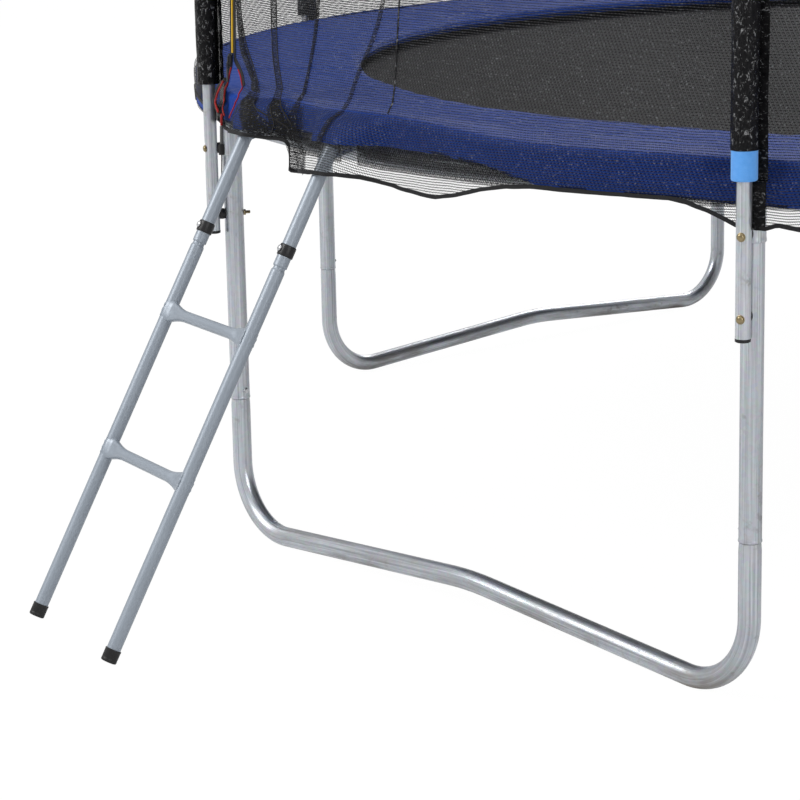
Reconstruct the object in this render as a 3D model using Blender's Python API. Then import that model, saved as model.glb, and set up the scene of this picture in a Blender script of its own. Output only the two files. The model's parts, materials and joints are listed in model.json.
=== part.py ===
"""Backyard trampoline, 12 ft class: four W-shaped leg bases, eight leg posts, an eight-piece ring
with T-sockets, springs, mat, frame pad, eight padded net poles, safety net with a zipped door, and a
hook-on two-rung ladder.

Frame: metres, +Z up, ground at z = 0. The trampoline's own centre line stands CENTRE_Y off the
origin, so that the origin is the bottom centre of the whole footprint, ladder included.
The ladder and the net door are at the front, on the -Y side; left and right are as seen from there.
"""

import math

import bmesh
import bpy
from mathutils import Vector

# ---------------------------------------------------------------- driving dimensions
# Metres; names ending in _DEG are degrees. Angles in plan count from +X, anticlockwise from above.
CENTRE_Y = 0.2565

# Tubes of the ring, posts and leg bases
SIDES = 8  # sides of every tube
TUBE_R, TUBE_BORE = 0.0190, 0.0172
SPIGOT_R, SPIGOT_BORE = 0.0166, 0.0150  # swaged tube ends that plug into the next tube
SPIGOT_L = 0.050
JOINT_GAP = 0.0004
SWAGE_L = 0.005  # the bore narrows this far before the seam
CUT_OVERRUN = 0.010  # by which bore cutters pass a tube's end

# Round pieces and uprights
ROUND_SIDES = 64
STEP_DEG = 360 / ROUND_SIDES
UPRIGHTS = 8
FIRST_UPRIGHT_DEG = -112.5
PITCH_DEG = 360 / UPRIGHTS
HALF_DEG = PITCH_DEG / 2
UPRIGHT_DEGS = [FIRST_UPRIGHT_DEG + PITCH_DEG * k for k in range(UPRIGHTS)]

# Ring, with a T-socket over each post
RING_R, RING_Z = 1.830, 0.850  # of the tube's centre line
ARC_OVERRUN_DEG = 0.3  # by which the bore cutter passes the arc's plain end
SPIGOT_OVERRUN = 0.008  # by which it passes the spigot's end
SOCKET_R, SOCKET_BORE, SOCKET_BOTTOM = 0.0207, 0.0194, 0.774
SOCKET_HEADROOM = 0.004  # above the post's top

# Leg bases and posts
SEAM_Z = 0.2805  # where a leg base meets its posts
POST_TOP = 0.822
BEND_R = 0.132  # bend at the foot of a leg base
BAR_RISE_DEG = 3.955  # by which each half of the bottom bar rises to its middle
BAR_MID_DROP = 0.0006  # of the bar's middle, below where its two slopes meet
# Turn of the bend, from upright to bar; the last two stand either side of its lowest point
BEND_DEGS = (0, 22, 44, 66, 90 - BAR_RISE_DEG, 90 + BAR_RISE_DEG)
BEND_Z = BEND_R * math.cos(math.radians(BAR_RISE_DEG)) + TUBE_R * math.cos(math.pi / SIDES)
BASE_HALF = RING_R * math.sin(math.radians(HALF_DEG))  # half the distance between two uprights
BASE_OUT = RING_R * math.cos(math.radians(HALF_DEG))  # the base's plane, off the centre

# Net poles, their foam and caps
POLE_R, POLE_BORE = 0.0125, 0.0113
POLE_OUT = 1.8715  # radius at which the poles stand, outside the posts
POLE_BOTTOM, POLE_TOP = 0.622, 2.615
FOAM_R, FOAM_BORE = 0.0210, 0.0132
FOAM_BOTTOM, FOAM_TOP = 0.886, 2.558
CAP_R, CAP_BORE, CAP_BOTTOM, CAP_SEAT, CAP_TOP = 0.0170, 0.0129, 2.562, 2.6185, 2.660
CAP_PROFILE = (  # radius, z
    (CAP_BORE, CAP_BOTTOM),
    (CAP_R, CAP_BOTTOM),
    (CAP_R, CAP_TOP - 0.016),
    (0.011, CAP_TOP - 0.003),
    (0, CAP_TOP),
    (0, CAP_SEAT),
    (CAP_BORE, CAP_SEAT),
)

# Mat and springs
MAT_R, MAT_LOW, MAT_TOP = 1.635, 0.8610, 0.8635
MAT_PROFILE = ((0, MAT_LOW), (MAT_R, MAT_LOW), (MAT_R, MAT_TOP), (0, MAT_TOP))  # radius, z
SPRINGS = 72
SPRING_IN, SPRING_LINK, SPRING_OUT = 1.6450, 1.6475, 1.797
SPRING_W, SPRING_LOW, SPRING_HIGH = 0.011, 0.8565, 0.8675

# Frame pad
PAD_IN, PAD_OUT, PAD_LOW, PAD_HIGH_IN, PAD_HIGH_OUT = 1.507, 1.845, 0.8765, 0.899, 0.903
SKIRT_IN, SKIRT_OUT, SKIRT_LOW, LIP_HIGH = 1.8512, 1.8537, 0.838, 0.8795
PAD_PROFILE = (  # radius, z
    (PAD_IN, PAD_LOW),
    (SKIRT_IN, PAD_LOW),
    (SKIRT_IN, SKIRT_LOW),
    (SKIRT_OUT, SKIRT_LOW),
    (SKIRT_OUT, LIP_HIGH),
    (PAD_OUT, LIP_HIGH),
    (PAD_OUT, PAD_HIGH_OUT),
    (PAD_IN, PAD_HIGH_IN),
)
NOTCH_SIZE = (0.05, 0.064, 0.08)  # radial, along the skirt, vertical
NOTCH_IN, NOTCH_Z = 1.8475, 0.86  # the notch's inner face and middle height

# Net, door, rope and zip
NET_T = 0.003
NET_LOW, NET_TOP = 0.790, 2.600
NET_SKIRT_R, NET_R = 1.8575, 1.8495
NET_FLARE_LOW, NET_FLARE_HIGH = 0.8805, 0.8845  # between these the net steps in to NET_R
DOOR_LEFT_DEG, DOOR_RIGHT_DEG = -106.875, -90.0
DOOR_SILL_LOW, DOOR_LOW, DOOR_HIGH = 0.897, 0.925, 2.300
DOOR_GAP_DEG, DOOR_GAP = 0.15, 0.003
ROPE_SIDES = 6
ROPE_R, ROPE_OUT, ROPE_Z = 0.0035, 1.848, 2.605
SLIDER_SIZE, SLIDER_BEVEL = (0.007, 0.012, 0.030), 0.0015
SLIDER_DEG, SLIDER_OUT, SLIDER_Z = -108.2, 1.8555, 0.970

# Ladder; positions along a stile are measured from its foot
LADDER_DEG = -98.33  # direction the ladder faces
LADDER_LEAN_DEG = 28.9  # from upright
LADDER_FOOT_OUT, LADDER_FOOT_Z = 2.3605, 0.0073
HOOK_PIVOT_OUT = 1.822  # where the hooks sit on the ring tube, along the ladder's direction
STILE_HALF = 0.312 / 2  # half the distance between the stiles
STILE_R, STILE_BORE, STILE_NECK = 0.0127, 0.0113, 0.0108
STILE_BOTTOM = 0.004
NECK_BORE = STILE_NECK - 0.0013
NECK_FROM, NECK_TO, NECK_TAPER = 0.752, 0.830, 0.006
RUNG_R, RUNG_AT = 0.0105, (0.337, 0.611)
RUNG_FLARE, RUNG_FLARE_L = 1.9, 0.035  # growth along the stile at a rung's ends, and its length
HOOK_TUBE_R, HOOK_TUBE_BORE, HOOK_FROM, HOOK_TO = 0.0130, 0.0116, 0.786, 0.979
HOOK_W, HOOK_T = 0.030, 0.003
HOOK_JOIN = 0.045  # the plate meets its tube this far below the tube's top
HOOK_LEAD = 0.010  # level run of the plate into the tube's axis
HOOK_LINE = (  # plate's middle line round the ring tube: degrees from outwards, radius
    (200, 0.0256), (175, 0.0253), (150, 0.0246), (125, 0.0238), (105, 0.0232),
    (90, 0.0230), (70, 0.0233), (50, 0.0241), (30, 0.0253), (15, 0.0264),
)
COLLAR_R, COLLAR_BORE, COLLAR_FROM, COLLAR_TO = 0.0158, 0.0136, 0.776, 0.800
FOOT_CAP_R, FOOT_CAP_BORE, FOOT_CAP_L, FOOT_CAP_FLOOR = 0.0143, 0.0131, 0.024, 0.0035

X, Y, UP = Vector((1, 0, 0)), Vector((0, 1, 0)), Vector((0, 0, 1))

# In the ladder's own frame +X faces away from the trampoline, +Y runs along the rungs, +Z is up.
LEAN = math.radians(LADDER_LEAN_DEG)
ALONG = Vector((-math.sin(LEAN), 0, math.cos(LEAN)))  # up a stile
ACROSS = Vector((math.cos(LEAN), 0, math.sin(LEAN)))  # square to a stile, outwards
FOOT = Vector((LADDER_FOOT_OUT - HOOK_PIVOT_OUT, 0, LADDER_FOOT_Z - RING_Z))
LADDER_SIDES = ((-1, "left"), (1, "right"))

# ---------------------------------------------------------------- clean start
for old in list(bpy.data.objects):
    bpy.data.objects.remove(old, do_unlink=True)
for collection in (bpy.data.meshes, bpy.data.materials, bpy.data.curves):
    for old in list(collection):
        collection.remove(old)


# ---------------------------------------------------------------- materials
def material(name, colour, roughness, metallic=0.0):
    made = bpy.data.materials.new(name)
    made.use_nodes = True
    shader = made.node_tree.nodes["Principled BSDF"]
    shader.inputs["Base Color"].default_value = (*colour, 1.0)
    shader.inputs["Roughness"].default_value = roughness
    shader.inputs["Metallic"].default_value = metallic
    made.diffuse_color = (*colour, 1.0)
    return made


GALVANISED = material(
    "galvanised_steel", colour=(0.62, 0.64, 0.67), roughness=0.38, metallic=1.0
)
POWDER = material("powder_coat", colour=(0.36, 0.39, 0.42), roughness=0.45)
BLACK = material("black_plastic", colour=(0.02, 0.02, 0.022), roughness=0.45)
MAT = material("mat_fabric", colour=(0.025, 0.025, 0.027), roughness=0.6)
SPRING = material("spring_steel", colour=(0.60, 0.61, 0.63), roughness=0.35, metallic=1.0)
PAD = material("pad_vinyl", colour=(0.02, 0.06, 0.24), roughness=0.42)
NET = material("net_fabric", colour=(0.02, 0.02, 0.022), roughness=0.7)
FOAM = material("pole_foam", colour=(0.13, 0.40, 0.90), roughness=0.85)
CORD = material("cord", colour=(0.03, 0.03, 0.03), roughness=0.8)


# ---------------------------------------------------------------- mesh helpers
def direction(deg):
    angle = math.radians(deg)
    return Vector((math.cos(angle), math.sin(angle), 0.0))


def polar(radius, deg, z):
    return direction(deg) * radius + Vector((0, 0, z))


def finish_mesh(shape, name, smooth_deg=40):
    bmesh.ops.recalc_face_normals(shape, faces=shape.faces[:])
    mesh = bpy.data.meshes.new(name)
    shape.to_mesh(mesh)
    shape.free()
    mesh.shade_smooth()
    mesh.set_sharp_from_angle(angle=math.radians(smooth_deg))
    return mesh


def loop_of(shape, centre, x_axis, y_axis, radius, phase, sides=SIDES):
    """One loop of points round centre; phase turns it by that share of a side."""
    loop = []
    for i in range(sides):
        angle = 2 * math.pi * (i + phase) / sides
        offset = x_axis * (radius * math.cos(angle)) + y_axis * (radius * math.sin(angle))
        loop.append(shape.verts.new(centre + offset))
    return loop


def bridge(shape, first, second):
    count = len(first)
    for i in range(count):
        j = (i + 1) % count
        shape.faces.new((first[i], first[j], second[j], second[i]))


def bridge_chain(shape, loops):
    for first, second in zip(loops, loops[1:]):
        bridge(shape, first, second)


def sweep_mesh(name, outer, inner=None, phase=0.5):
    """A bar along stations (centre, x axis, y axis, radius); with inner, an open-ended tube."""
    shape = bmesh.new()
    skin = [loop_of(shape, *station, phase) for station in outer]
    bridge_chain(shape, skin)
    if inner:
        bore = [loop_of(shape, *station, phase) for station in inner]
        bridge_chain(shape, bore)
        bridge(shape, skin[0], bore[0])
        bridge(shape, skin[-1], bore[-1])
    else:
        shape.faces.new(skin[0])
        shape.faces.new(skin[-1])
    return finish_mesh(shape, name)


def upright(radius, *levels, foot=Vector((0, 0, 0))):
    """Stations of a vertical bar over foot."""
    return [(foot + UP * z, X, Y, radius) for z in levels]


def lathe_mesh(name, profile, sides):
    """A closed (radius, z) profile turned round a vertical axis; points on the axis become one."""
    shape = bmesh.new()
    loops = []
    for radius, z in profile:
        if radius == 0:
            loops.append([shape.verts.new(Vector((0, 0, z)))] * sides)
        else:
            loops.append([shape.verts.new(polar(radius, i * (360 / sides), z)) for i in range(sides)])
    for k, first in enumerate(loops):
        second = loops[(k + 1) % len(loops)]
        if first[0] is first[1] and second[0] is second[1]:
            continue
        for i in range(sides):
            j = (i + 1) % sides
            corners = [first[i], first[j], second[j], second[i]]
            shape.faces.new([v for s, v in enumerate(corners) if v is not corners[s - 1]])
    return finish_mesh(shape, name)


def box_mesh(name, size, bevel=0):
    shape = bmesh.new()
    bmesh.ops.create_cube(shape, size=1.0)
    bmesh.ops.scale(shape, vec=size, verts=shape.verts)
    if bevel:
        bmesh.ops.bevel(shape, geom=shape.edges[:], offset=bevel, segments=1, affect="EDGES")
    return finish_mesh(shape, name)


# ---------------------------------------------------------------- object helpers
def add_empty(name, location, parent=None, turn=0.0):
    empty = bpy.data.objects.new(name, None)
    bpy.context.scene.collection.objects.link(empty)
    empty.parent = parent
    empty.location = location
    empty.rotation_euler = (0, 0, math.radians(turn))
    return empty


CENTRE = add_empty("trampoline_centre", (0, CENTRE_Y, 0))


def add(name, mesh, finish, location=(0, 0, 0), turn=0.0, parent=CENTRE):
    obj = bpy.data.objects.new(name, mesh)
    bpy.context.scene.collection.objects.link(obj)
    obj.parent = parent
    obj.location = location
    obj.rotation_euler = (0, 0, math.radians(turn))
    if finish and not mesh.materials:
        mesh.materials.append(finish)
    return obj


def boolean(target, operation, mesh, **place):
    """Puts a boolean on target, with mesh as its hidden tool."""
    tool = add(mesh.name, mesh, None, **place)
    tool.hide_render = True
    tool.display_type = "WIRE"
    modifier = target.modifiers.new(operation.lower() + "_" + tool.name, "BOOLEAN")
    modifier.operation = operation
    modifier.object = tool
    modifier.solver = "EXACT"
    return tool


def carved(name, blank_mesh, finish, cuts, parent=CENTRE):
    """The blank's mesh after each (operation, tool mesh) in turn; nothing stays in the scene."""
    blank = add(blank_mesh.name, blank_mesh, finish, parent=parent)
    tools = [boolean(blank, operation, mesh, parent=parent) for operation, mesh in cuts]
    bpy.context.view_layer.update()
    depsgraph = bpy.context.evaluated_depsgraph_get()
    result = bpy.data.meshes.new_from_object(blank.evaluated_get(depsgraph))
    result.name = name
    for obj in (blank, *tools):
        bpy.data.objects.remove(obj, do_unlink=True)
    return result


# ---------------------------------------------------------------- ring
def ring_station(deg, radius):
    return (polar(RING_R, deg, RING_Z), direction(deg), UP, radius)


def spigot_station(length, radius):
    """A point past the seam, along the next arc's first straight step."""
    middle_deg = HALF_DEG + STEP_DEG / 2
    centre = polar(RING_R, HALF_DEG, RING_Z) + direction(middle_deg + 90) * length
    return (centre, direction(middle_deg), UP, radius)


def build_ring():
    """Eight arcs, modelled round the direction +X, each with its T-socket."""
    degs = [-HALF_DEG + STEP_DEG * i for i in range(round(PITCH_DEG / STEP_DEG))]
    shoulder_deg = HALF_DEG - math.degrees(JOINT_GAP / RING_R)
    outer = [ring_station(deg, TUBE_R) for deg in degs] + [
        ring_station(shoulder_deg, TUBE_R),
        ring_station(shoulder_deg, SPIGOT_R),
        spigot_station(SPIGOT_L, SPIGOT_R),
    ]
    swage_deg = HALF_DEG - math.degrees(SWAGE_L / RING_R)
    bore_degs = [-HALF_DEG - ARC_OVERRUN_DEG, *degs[1:], swage_deg]
    inner = [ring_station(deg, TUBE_BORE) for deg in bore_degs] + [
        ring_station(swage_deg, SPIGOT_BORE),
        spigot_station(SPIGOT_L + SPIGOT_OVERRUN, SPIGOT_BORE),
    ]
    post_axis = X * RING_R
    socket = upright(SOCKET_R, SOCKET_BOTTOM, RING_Z, foot=post_axis)
    socket_bore = upright(
        SOCKET_BORE, SOCKET_BOTTOM - CUT_OVERRUN, POST_TOP + SOCKET_HEADROOM, foot=post_axis
    )
    cuts = (
        ("UNION", sweep_mesh("socket", socket, phase=0)),
        ("DIFFERENCE", sweep_mesh("arc_bore", inner)),
        ("DIFFERENCE", sweep_mesh("socket_bore", socket_bore, phase=0)),
    )
    mesh = carved("ring_segment", sweep_mesh("arc_blank", outer), GALVANISED, cuts)
    for number, deg in enumerate(UPRIGHT_DEGS, 1):
        add(f"ring_segment_{number}", mesh, GALVANISED, turn=deg)


# ---------------------------------------------------------------- leg bases and posts
def base_half(sign, radius, spigot_radius, seam_z):
    """Stations of a base facing +X, from the top of its upright on the sign's side of Y."""
    top = ((SEAM_Z + SPIGOT_L, spigot_radius), (seam_z, spigot_radius), (seam_z, radius))
    stations = [(Vector((BASE_OUT, sign * BASE_HALF, z)), X, Y * sign, r) for z, r in top]
    for deg in BEND_DEGS:
        angle = math.radians(deg)
        side = BASE_HALF - BEND_R + BEND_R * math.cos(angle)
        z = BEND_Z - BEND_R * math.sin(angle)
        across = Y * (sign * math.cos(angle)) - UP * math.sin(angle)
        stations.append((Vector((BASE_OUT, sign * side, z)), X, across, radius))
    return stations


def base_stations(radius, spigot_radius, seam_z):
    first = base_half(1, radius, spigot_radius, seam_z)
    last = base_half(-1, radius, spigot_radius, seam_z)
    end = first[-1][0]
    middle_z = end.z + abs(end.y) * math.tan(math.radians(BAR_RISE_DEG)) - BAR_MID_DROP
    middle = (Vector((BASE_OUT, 0, middle_z)), X, -UP, radius)
    return first + [middle] + last[::-1]


def build_leg_bases():
    """One bent tube each, in a vertical plane."""
    mesh = sweep_mesh(
        "leg_base",
        base_stations(TUBE_R, SPIGOT_R, SEAM_Z - JOINT_GAP),
        base_stations(TUBE_BORE, SPIGOT_BORE, SEAM_Z - SWAGE_L),
    )
    for name, facing in (("front", -90), ("right", 0), ("back", 90), ("left", 180)):
        add(f"leg_base_{name}", mesh, GALVANISED, turn=facing)


def build_leg_posts():
    """Straight tubes from base to T-socket."""
    outer, inner = (upright(radius, SEAM_Z, POST_TOP) for radius in (TUBE_R, TUBE_BORE))
    mesh = sweep_mesh("leg_post", outer, inner)
    for number, deg in enumerate(UPRIGHT_DEGS, 1):
        # the post's flats line up with those of the base it stands on
        place = polar(RING_R, deg, 0)
        add(f"leg_post_{number}", mesh, GALVANISED, location=place, turn=deg + HALF_DEG)


# ---------------------------------------------------------------- net poles, their foam and caps
def build_poles():
    pole = sweep_mesh(
        "net_pole",
        upright(POLE_R, POLE_BOTTOM, POLE_TOP),
        upright(POLE_BORE, POLE_BOTTOM, POLE_TOP),
        phase=0,
    )
    foam = sweep_mesh(
        "pole_foam",
        upright(FOAM_R, FOAM_BOTTOM, FOAM_TOP),
        upright(FOAM_BORE, FOAM_BOTTOM, FOAM_TOP),
        phase=0,
    )
    cap = lathe_mesh("pole_cap", CAP_PROFILE, SIDES)
    for number, deg in enumerate(UPRIGHT_DEGS, 1):
        place = polar(POLE_OUT, deg, 0)
        for mesh, finish in ((pole, GALVANISED), (foam, FOAM), (cap, BLACK)):
            add(f"{mesh.name}_{number}", mesh, finish, location=place, turn=deg)


# ---------------------------------------------------------------- mat, springs and frame pad
def build_mat():
    add("jumping_mat", lathe_mesh("jumping_mat", MAT_PROFILE, SPRINGS), MAT)


def build_springs():
    """All springs as one body: flat fingers on a thin band along their inner ends."""
    shape = bmesh.new()
    link_half = math.degrees(SPRING_W / 2 / SPRING_LINK)
    out_half = math.degrees(SPRING_W / 2 / SPRING_OUT)
    outline = (  # row, radius, half width in degrees
        ("in", SPRING_IN, link_half),
        ("mid", SPRING_LINK, link_half),
        ("out", SPRING_OUT, out_half),
    )

    def finger(deg, z):
        """Corners by row and edge; the start edge is at the lower angle."""
        return {
            f"{row}_{edge}": shape.verts.new(polar(radius, deg + sign * half, z))
            for row, radius, half in outline
            for edge, sign in (("start", -1), ("end", 1))
        }

    low, high = (
        [finger(i * 360.0 / SPRINGS, z) for i in range(SPRINGS)] for z in (SPRING_LOW, SPRING_HIGH)
    )
    for i in range(SPRINGS):
        j = (i + 1) % SPRINGS
        for level in (low, high):
            this, after = level[i], level[j]
            shape.faces.new([this[c] for c in ("mid_start", "out_start", "out_end", "mid_end")])
            shape.faces.new([this[c] for c in ("in_start", "mid_start", "mid_end", "in_end")])
            shape.faces.new(
                (this["in_end"], this["mid_end"], after["mid_start"], after["in_start"])
            )
        walls = (  # finger and corner where each wall begins and ends
            (i, "mid_start", i, "out_start"),
            (i, "out_start", i, "out_end"),
            (i, "out_end", i, "mid_end"),
            (i, "mid_end", j, "mid_start"),
            (i, "in_start", i, "in_end"),
            (i, "in_end", j, "in_start"),
        )
        for a, begin, b, end in walls:
            shape.faces.new((low[a][begin], low[b][end], high[b][end], high[a][begin]))
    add("springs", finish_mesh(shape, "springs"), SPRING)


def build_pad():
    """Ring cushion with a skirt over the ring tube, notched where the ladder hooks pass."""
    pad = add("frame_pad", lathe_mesh("frame_pad", PAD_PROFILE, ROUND_SIDES), PAD)
    stile_deg = math.degrees(math.atan2(STILE_HALF, HOOK_PIVOT_OUT))
    for sign, side in LADDER_SIDES:
        deg = LADDER_DEG + sign * stile_deg
        place = polar(NOTCH_IN + NOTCH_SIZE[0] / 2, deg, NOTCH_Z)
        notch = box_mesh(f"skirt_notch_{side}", NOTCH_SIZE)
        boolean(pad, "DIFFERENCE", notch, location=place, turn=deg)


# ---------------------------------------------------------------- safety net and door
def eight_sided(deg):
    """Radius of the flat between two poles, as a share of the circle through them."""
    off = (deg - FIRST_UPRIGHT_DEG) % PITCH_DEG - HALF_DEG
    return math.cos(math.radians(HALF_DEG)) / math.cos(math.radians(off))


def net_radius(deg, z):
    """Round up to the door's foot, then turning to eight-sided at the top."""
    if z <= NET_FLARE_LOW:
        return NET_SKIRT_R
    share = max(0.0, (z - DOOR_LOW) / (NET_TOP - DOOR_LOW))
    return NET_R * ((1 - share) + share * eight_sided(deg))


def net_sheet(shape, degs, rows, closed=False, keep=lambda column, row: True):
    """A sheet NET_T thick over columns degs and heights rows, with the cells keep picks."""
    verts = {}
    count = len(degs)

    def corner(column, row, inside):
        if closed:
            column %= count
        key = (column, row, inside)
        if key not in verts:
            radius = net_radius(degs[column], rows[row]) - NET_T * inside
            verts[key] = shape.verts.new(polar(radius, degs[column], rows[row]))
        return verts[key]

    columns = count if closed else count - 1
    kept = {(i, k) for i in range(columns) for k in range(len(rows) - 1) if keep(i, k)}
    for i, k in sorted(kept):
        for inside in (0, 1):
            cell = ((i, k), (i + 1, k), (i + 1, k + 1), (i, k + 1))
            shape.faces.new([corner(*point, inside) for point in cell])
        before, after = i - 1, i + 1
        if closed:
            before, after = before % count, after % count
        borders = (  # neighbouring cell, then the two ends of the edge shared with it
            ((before, k), (i, k), (i, k + 1)),
            ((after, k), (i + 1, k), (i + 1, k + 1)),
            ((i, k - 1), (i, k), (i + 1, k)),
            ((i, k + 1), (i, k + 1), (i + 1, k + 1)),
        )
        for neighbour, begin, end in borders:
            if neighbour not in kept:
                edge = (corner(*begin, 0), corner(*end, 0), corner(*end, 1), corner(*begin, 1))
                shape.faces.new(edge)


def build_net():
    rows = [NET_LOW, NET_FLARE_LOW, NET_FLARE_HIGH, DOOR_SILL_LOW, DOOR_LOW, DOOR_HIGH, NET_TOP]
    degs = [-180 + STEP_DEG * i for i in range(ROUND_SIDES)]
    strips = (DOOR_SILL_LOW, DOOR_HIGH)  # feet of the only strips kept across the doorway

    def keep(column, row):
        beside_door = not DOOR_LEFT_DEG < degs[column] + STEP_DEG / 2 < DOOR_RIGHT_DEG
        return beside_door or rows[row] in strips

    shape = bmesh.new()
    net_sheet(shape, degs, rows, closed=True, keep=keep)
    add("enclosure_net", finish_mesh(shape, "enclosure_net", smooth_deg=60), NET)


def build_door():
    """Flap whose origin is the foot of its right edge, near the middle of the front."""
    hinge_deg = DOOR_RIGHT_DEG - DOOR_GAP_DEG
    hinge_foot = polar(net_radius(hinge_deg, DOOR_LOW) - NET_T / 2, hinge_deg, DOOR_LOW)
    hinge = add_empty("door_hinge_line", hinge_foot, parent=CENTRE)
    degs = [
        DOOR_LEFT_DEG + DOOR_GAP_DEG,
        DOOR_LEFT_DEG + STEP_DEG,
        DOOR_LEFT_DEG + 2 * STEP_DEG,
        hinge_deg,
    ]
    shape = bmesh.new()
    net_sheet(shape, degs, [DOOR_LOW + DOOR_GAP, DOOR_HIGH - DOOR_GAP])
    bmesh.ops.translate(shape, vec=-hinge_foot, verts=shape.verts)
    add("net_door", finish_mesh(shape, "net_door", smooth_deg=60), NET, parent=hinge)


def build_rope():
    """Eight-sided rope just above the net's top edge."""
    shape = bmesh.new()
    mitre = math.cos(math.radians(HALF_DEG))
    loops = []
    for deg in UPRIGHT_DEGS:
        centre = polar(ROPE_OUT, deg, ROPE_Z)
        across = direction(deg) / mitre
        loops.append(loop_of(shape, centre, across, UP, ROPE_R, 0.5, ROPE_SIDES))
    bridge_chain(shape, loops + loops[:1])
    add("top_rope", finish_mesh(shape, "top_rope"), CORD)


def build_zip_slider():
    """Slider beside the door's left edge."""
    mesh = box_mesh("zip_slider", SLIDER_SIZE, SLIDER_BEVEL)
    place = polar(SLIDER_OUT, SLIDER_DEG, SLIDER_Z)
    add("zip_slider", mesh, BLACK, location=place, turn=SLIDER_DEG)


# ---------------------------------------------------------------- ladder
def on_stile(sign, spans):
    """Stations on the stile on the sign's side of Y, from (position along it, radius) pairs."""
    foot = FOOT + Y * (sign * STILE_HALF)
    return [(foot + ALONG * at, ACROSS, Y, radius) for at, radius in spans]


def rung_mesh(at):
    """A rung from stile axis to stile axis, with flared ends."""
    middle = FOOT + ALONG * at
    straight = STILE_HALF - RUNG_FLARE_L
    spans = (  # place along Y, growth along the stile
        (-STILE_HALF, RUNG_FLARE),
        (-straight, 1.0),
        (straight, 1.0),
        (STILE_HALF, RUNG_FLARE),
    )
    stations = [(middle + Y * side, ACROSS, ALONG * growth, RUNG_R) for side, growth in spans]
    return sweep_mesh(f"rung_{at}", stations)


def build_ladder_frame(ladder):
    """Two necked stiles and two rungs, with the stiles bored through."""
    outside = (
        (STILE_BOTTOM, STILE_R),
        (NECK_FROM, STILE_R),
        (NECK_FROM + NECK_TAPER, STILE_NECK),
        (NECK_TO, STILE_NECK),
    )
    bore = (
        (-CUT_OVERRUN, STILE_BORE),
        (NECK_FROM - NECK_TAPER, STILE_BORE),
        (NECK_FROM, NECK_BORE),
        (NECK_TO + CUT_OVERRUN, NECK_BORE),
    )
    cuts = [("UNION", sweep_mesh("stile_right", on_stile(1, outside)))]
    cuts += [("UNION", rung_mesh(at)) for at in RUNG_AT]
    for sign, side in LADDER_SIDES:
        cuts.append(("DIFFERENCE", sweep_mesh(f"stile_bore_{side}", on_stile(sign, bore))))
    blank = sweep_mesh("stile_left", on_stile(-1, outside))
    mesh = carved("ladder_frame", blank, POWDER, cuts, parent=ladder)
    add("ladder_frame", mesh, POWDER, parent=ladder)


def hook_plate_mesh(name, sign):
    """Bent plate that hangs on the ring tube, clear of it since the tube curves under its width."""
    path = []
    for deg, radius in HOOK_LINE:
        angle = math.radians(deg)
        path.append(Vector((radius * math.cos(angle), 0, radius * math.sin(angle))))
    join = FOOT + ALONG * (HOOK_TO - HOOK_JOIN)
    path += [Vector((join.x - HOOK_LEAD, 0, join.z)), Vector((join.x, 0, join.z))]

    y = sign * STILE_HALF
    near, far = Y * (y - HOOK_W / 2), Y * (y + HOOK_W / 2)
    shape = bmesh.new()
    loops = []
    for i, point in enumerate(path):
        before, after = path[max(i - 1, 0)], path[min(i + 1, len(path) - 1)]
        tangent = (after - before).normalized()
        normal = Vector((-tangent.z, 0, tangent.x)) * (HOOK_T / 2)
        corners = (
            point + normal + near,
            point + normal + far,
            point - normal + far,
            point - normal + near,
        )
        loops.append([shape.verts.new(corner) for corner in corners])
    bridge_chain(shape, loops)
    shape.faces.new(loops[0])
    shape.faces.new(loops[-1])
    return finish_mesh(shape, name)


def build_hook(ladder, sign, side):
    """A tube over the stile's neck, with its bent plate."""
    name = f"ladder_hook_{side}"
    outside = ((HOOK_FROM, HOOK_TUBE_R), (HOOK_TO, HOOK_TUBE_R))
    bore = ((HOOK_FROM - CUT_OVERRUN, HOOK_TUBE_BORE), (HOOK_TO + CUT_OVERRUN, HOOK_TUBE_BORE))
    cuts = (
        ("UNION", hook_plate_mesh(f"hook_plate_{side}", sign)),
        ("DIFFERENCE", sweep_mesh(f"hook_bore_{side}", on_stile(sign, bore))),
    )
    blank = sweep_mesh(f"hook_tube_{side}", on_stile(sign, outside))
    add(name, carved(name, blank, POWDER, cuts, parent=ladder), POWDER, parent=ladder)


def build_collar(ladder, sign, side):
    """Open ring round the hook tube's lower end."""
    name = f"ladder_collar_{side}"
    outer, inner = (
        on_stile(sign, ((COLLAR_FROM, radius), (COLLAR_TO, radius)))
        for radius in (COLLAR_R, COLLAR_BORE)
    )
    add(name, sweep_mesh(name, outer, inner), BLACK, parent=ladder)


def build_foot_cap(ladder, sign, side):
    """A cup closed at the ground end: up its outside, over the rim and down its bore."""
    name = f"ladder_foot_{side}"
    spans = (
        (0.0, FOOT_CAP_R),
        (FOOT_CAP_L, FOOT_CAP_R),
        (FOOT_CAP_L, FOOT_CAP_BORE),
        (FOOT_CAP_FLOOR, FOOT_CAP_BORE),
    )
    add(name, sweep_mesh(name, on_stile(sign, spans)), BLACK, parent=ladder)


def build_ladder():
    """The origin is midway between the stiles, on the line about which the hooks turn."""
    pivot = polar(HOOK_PIVOT_OUT, LADDER_DEG, RING_Z)
    ladder = add_empty("ladder_hook_line", pivot, parent=CENTRE, turn=LADDER_DEG)
    build_ladder_frame(ladder)
    for sign, side in LADDER_SIDES:
        build_hook(ladder, sign, side)
        build_collar(ladder, sign, side)
        build_foot_cap(ladder, sign, side)


build_ring()
build_leg_bases()
build_leg_posts()
build_poles()
build_mat()
build_springs()
build_pad()
build_net()
build_door()
build_rope()
build_zip_slider()
build_ladder()
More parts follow.
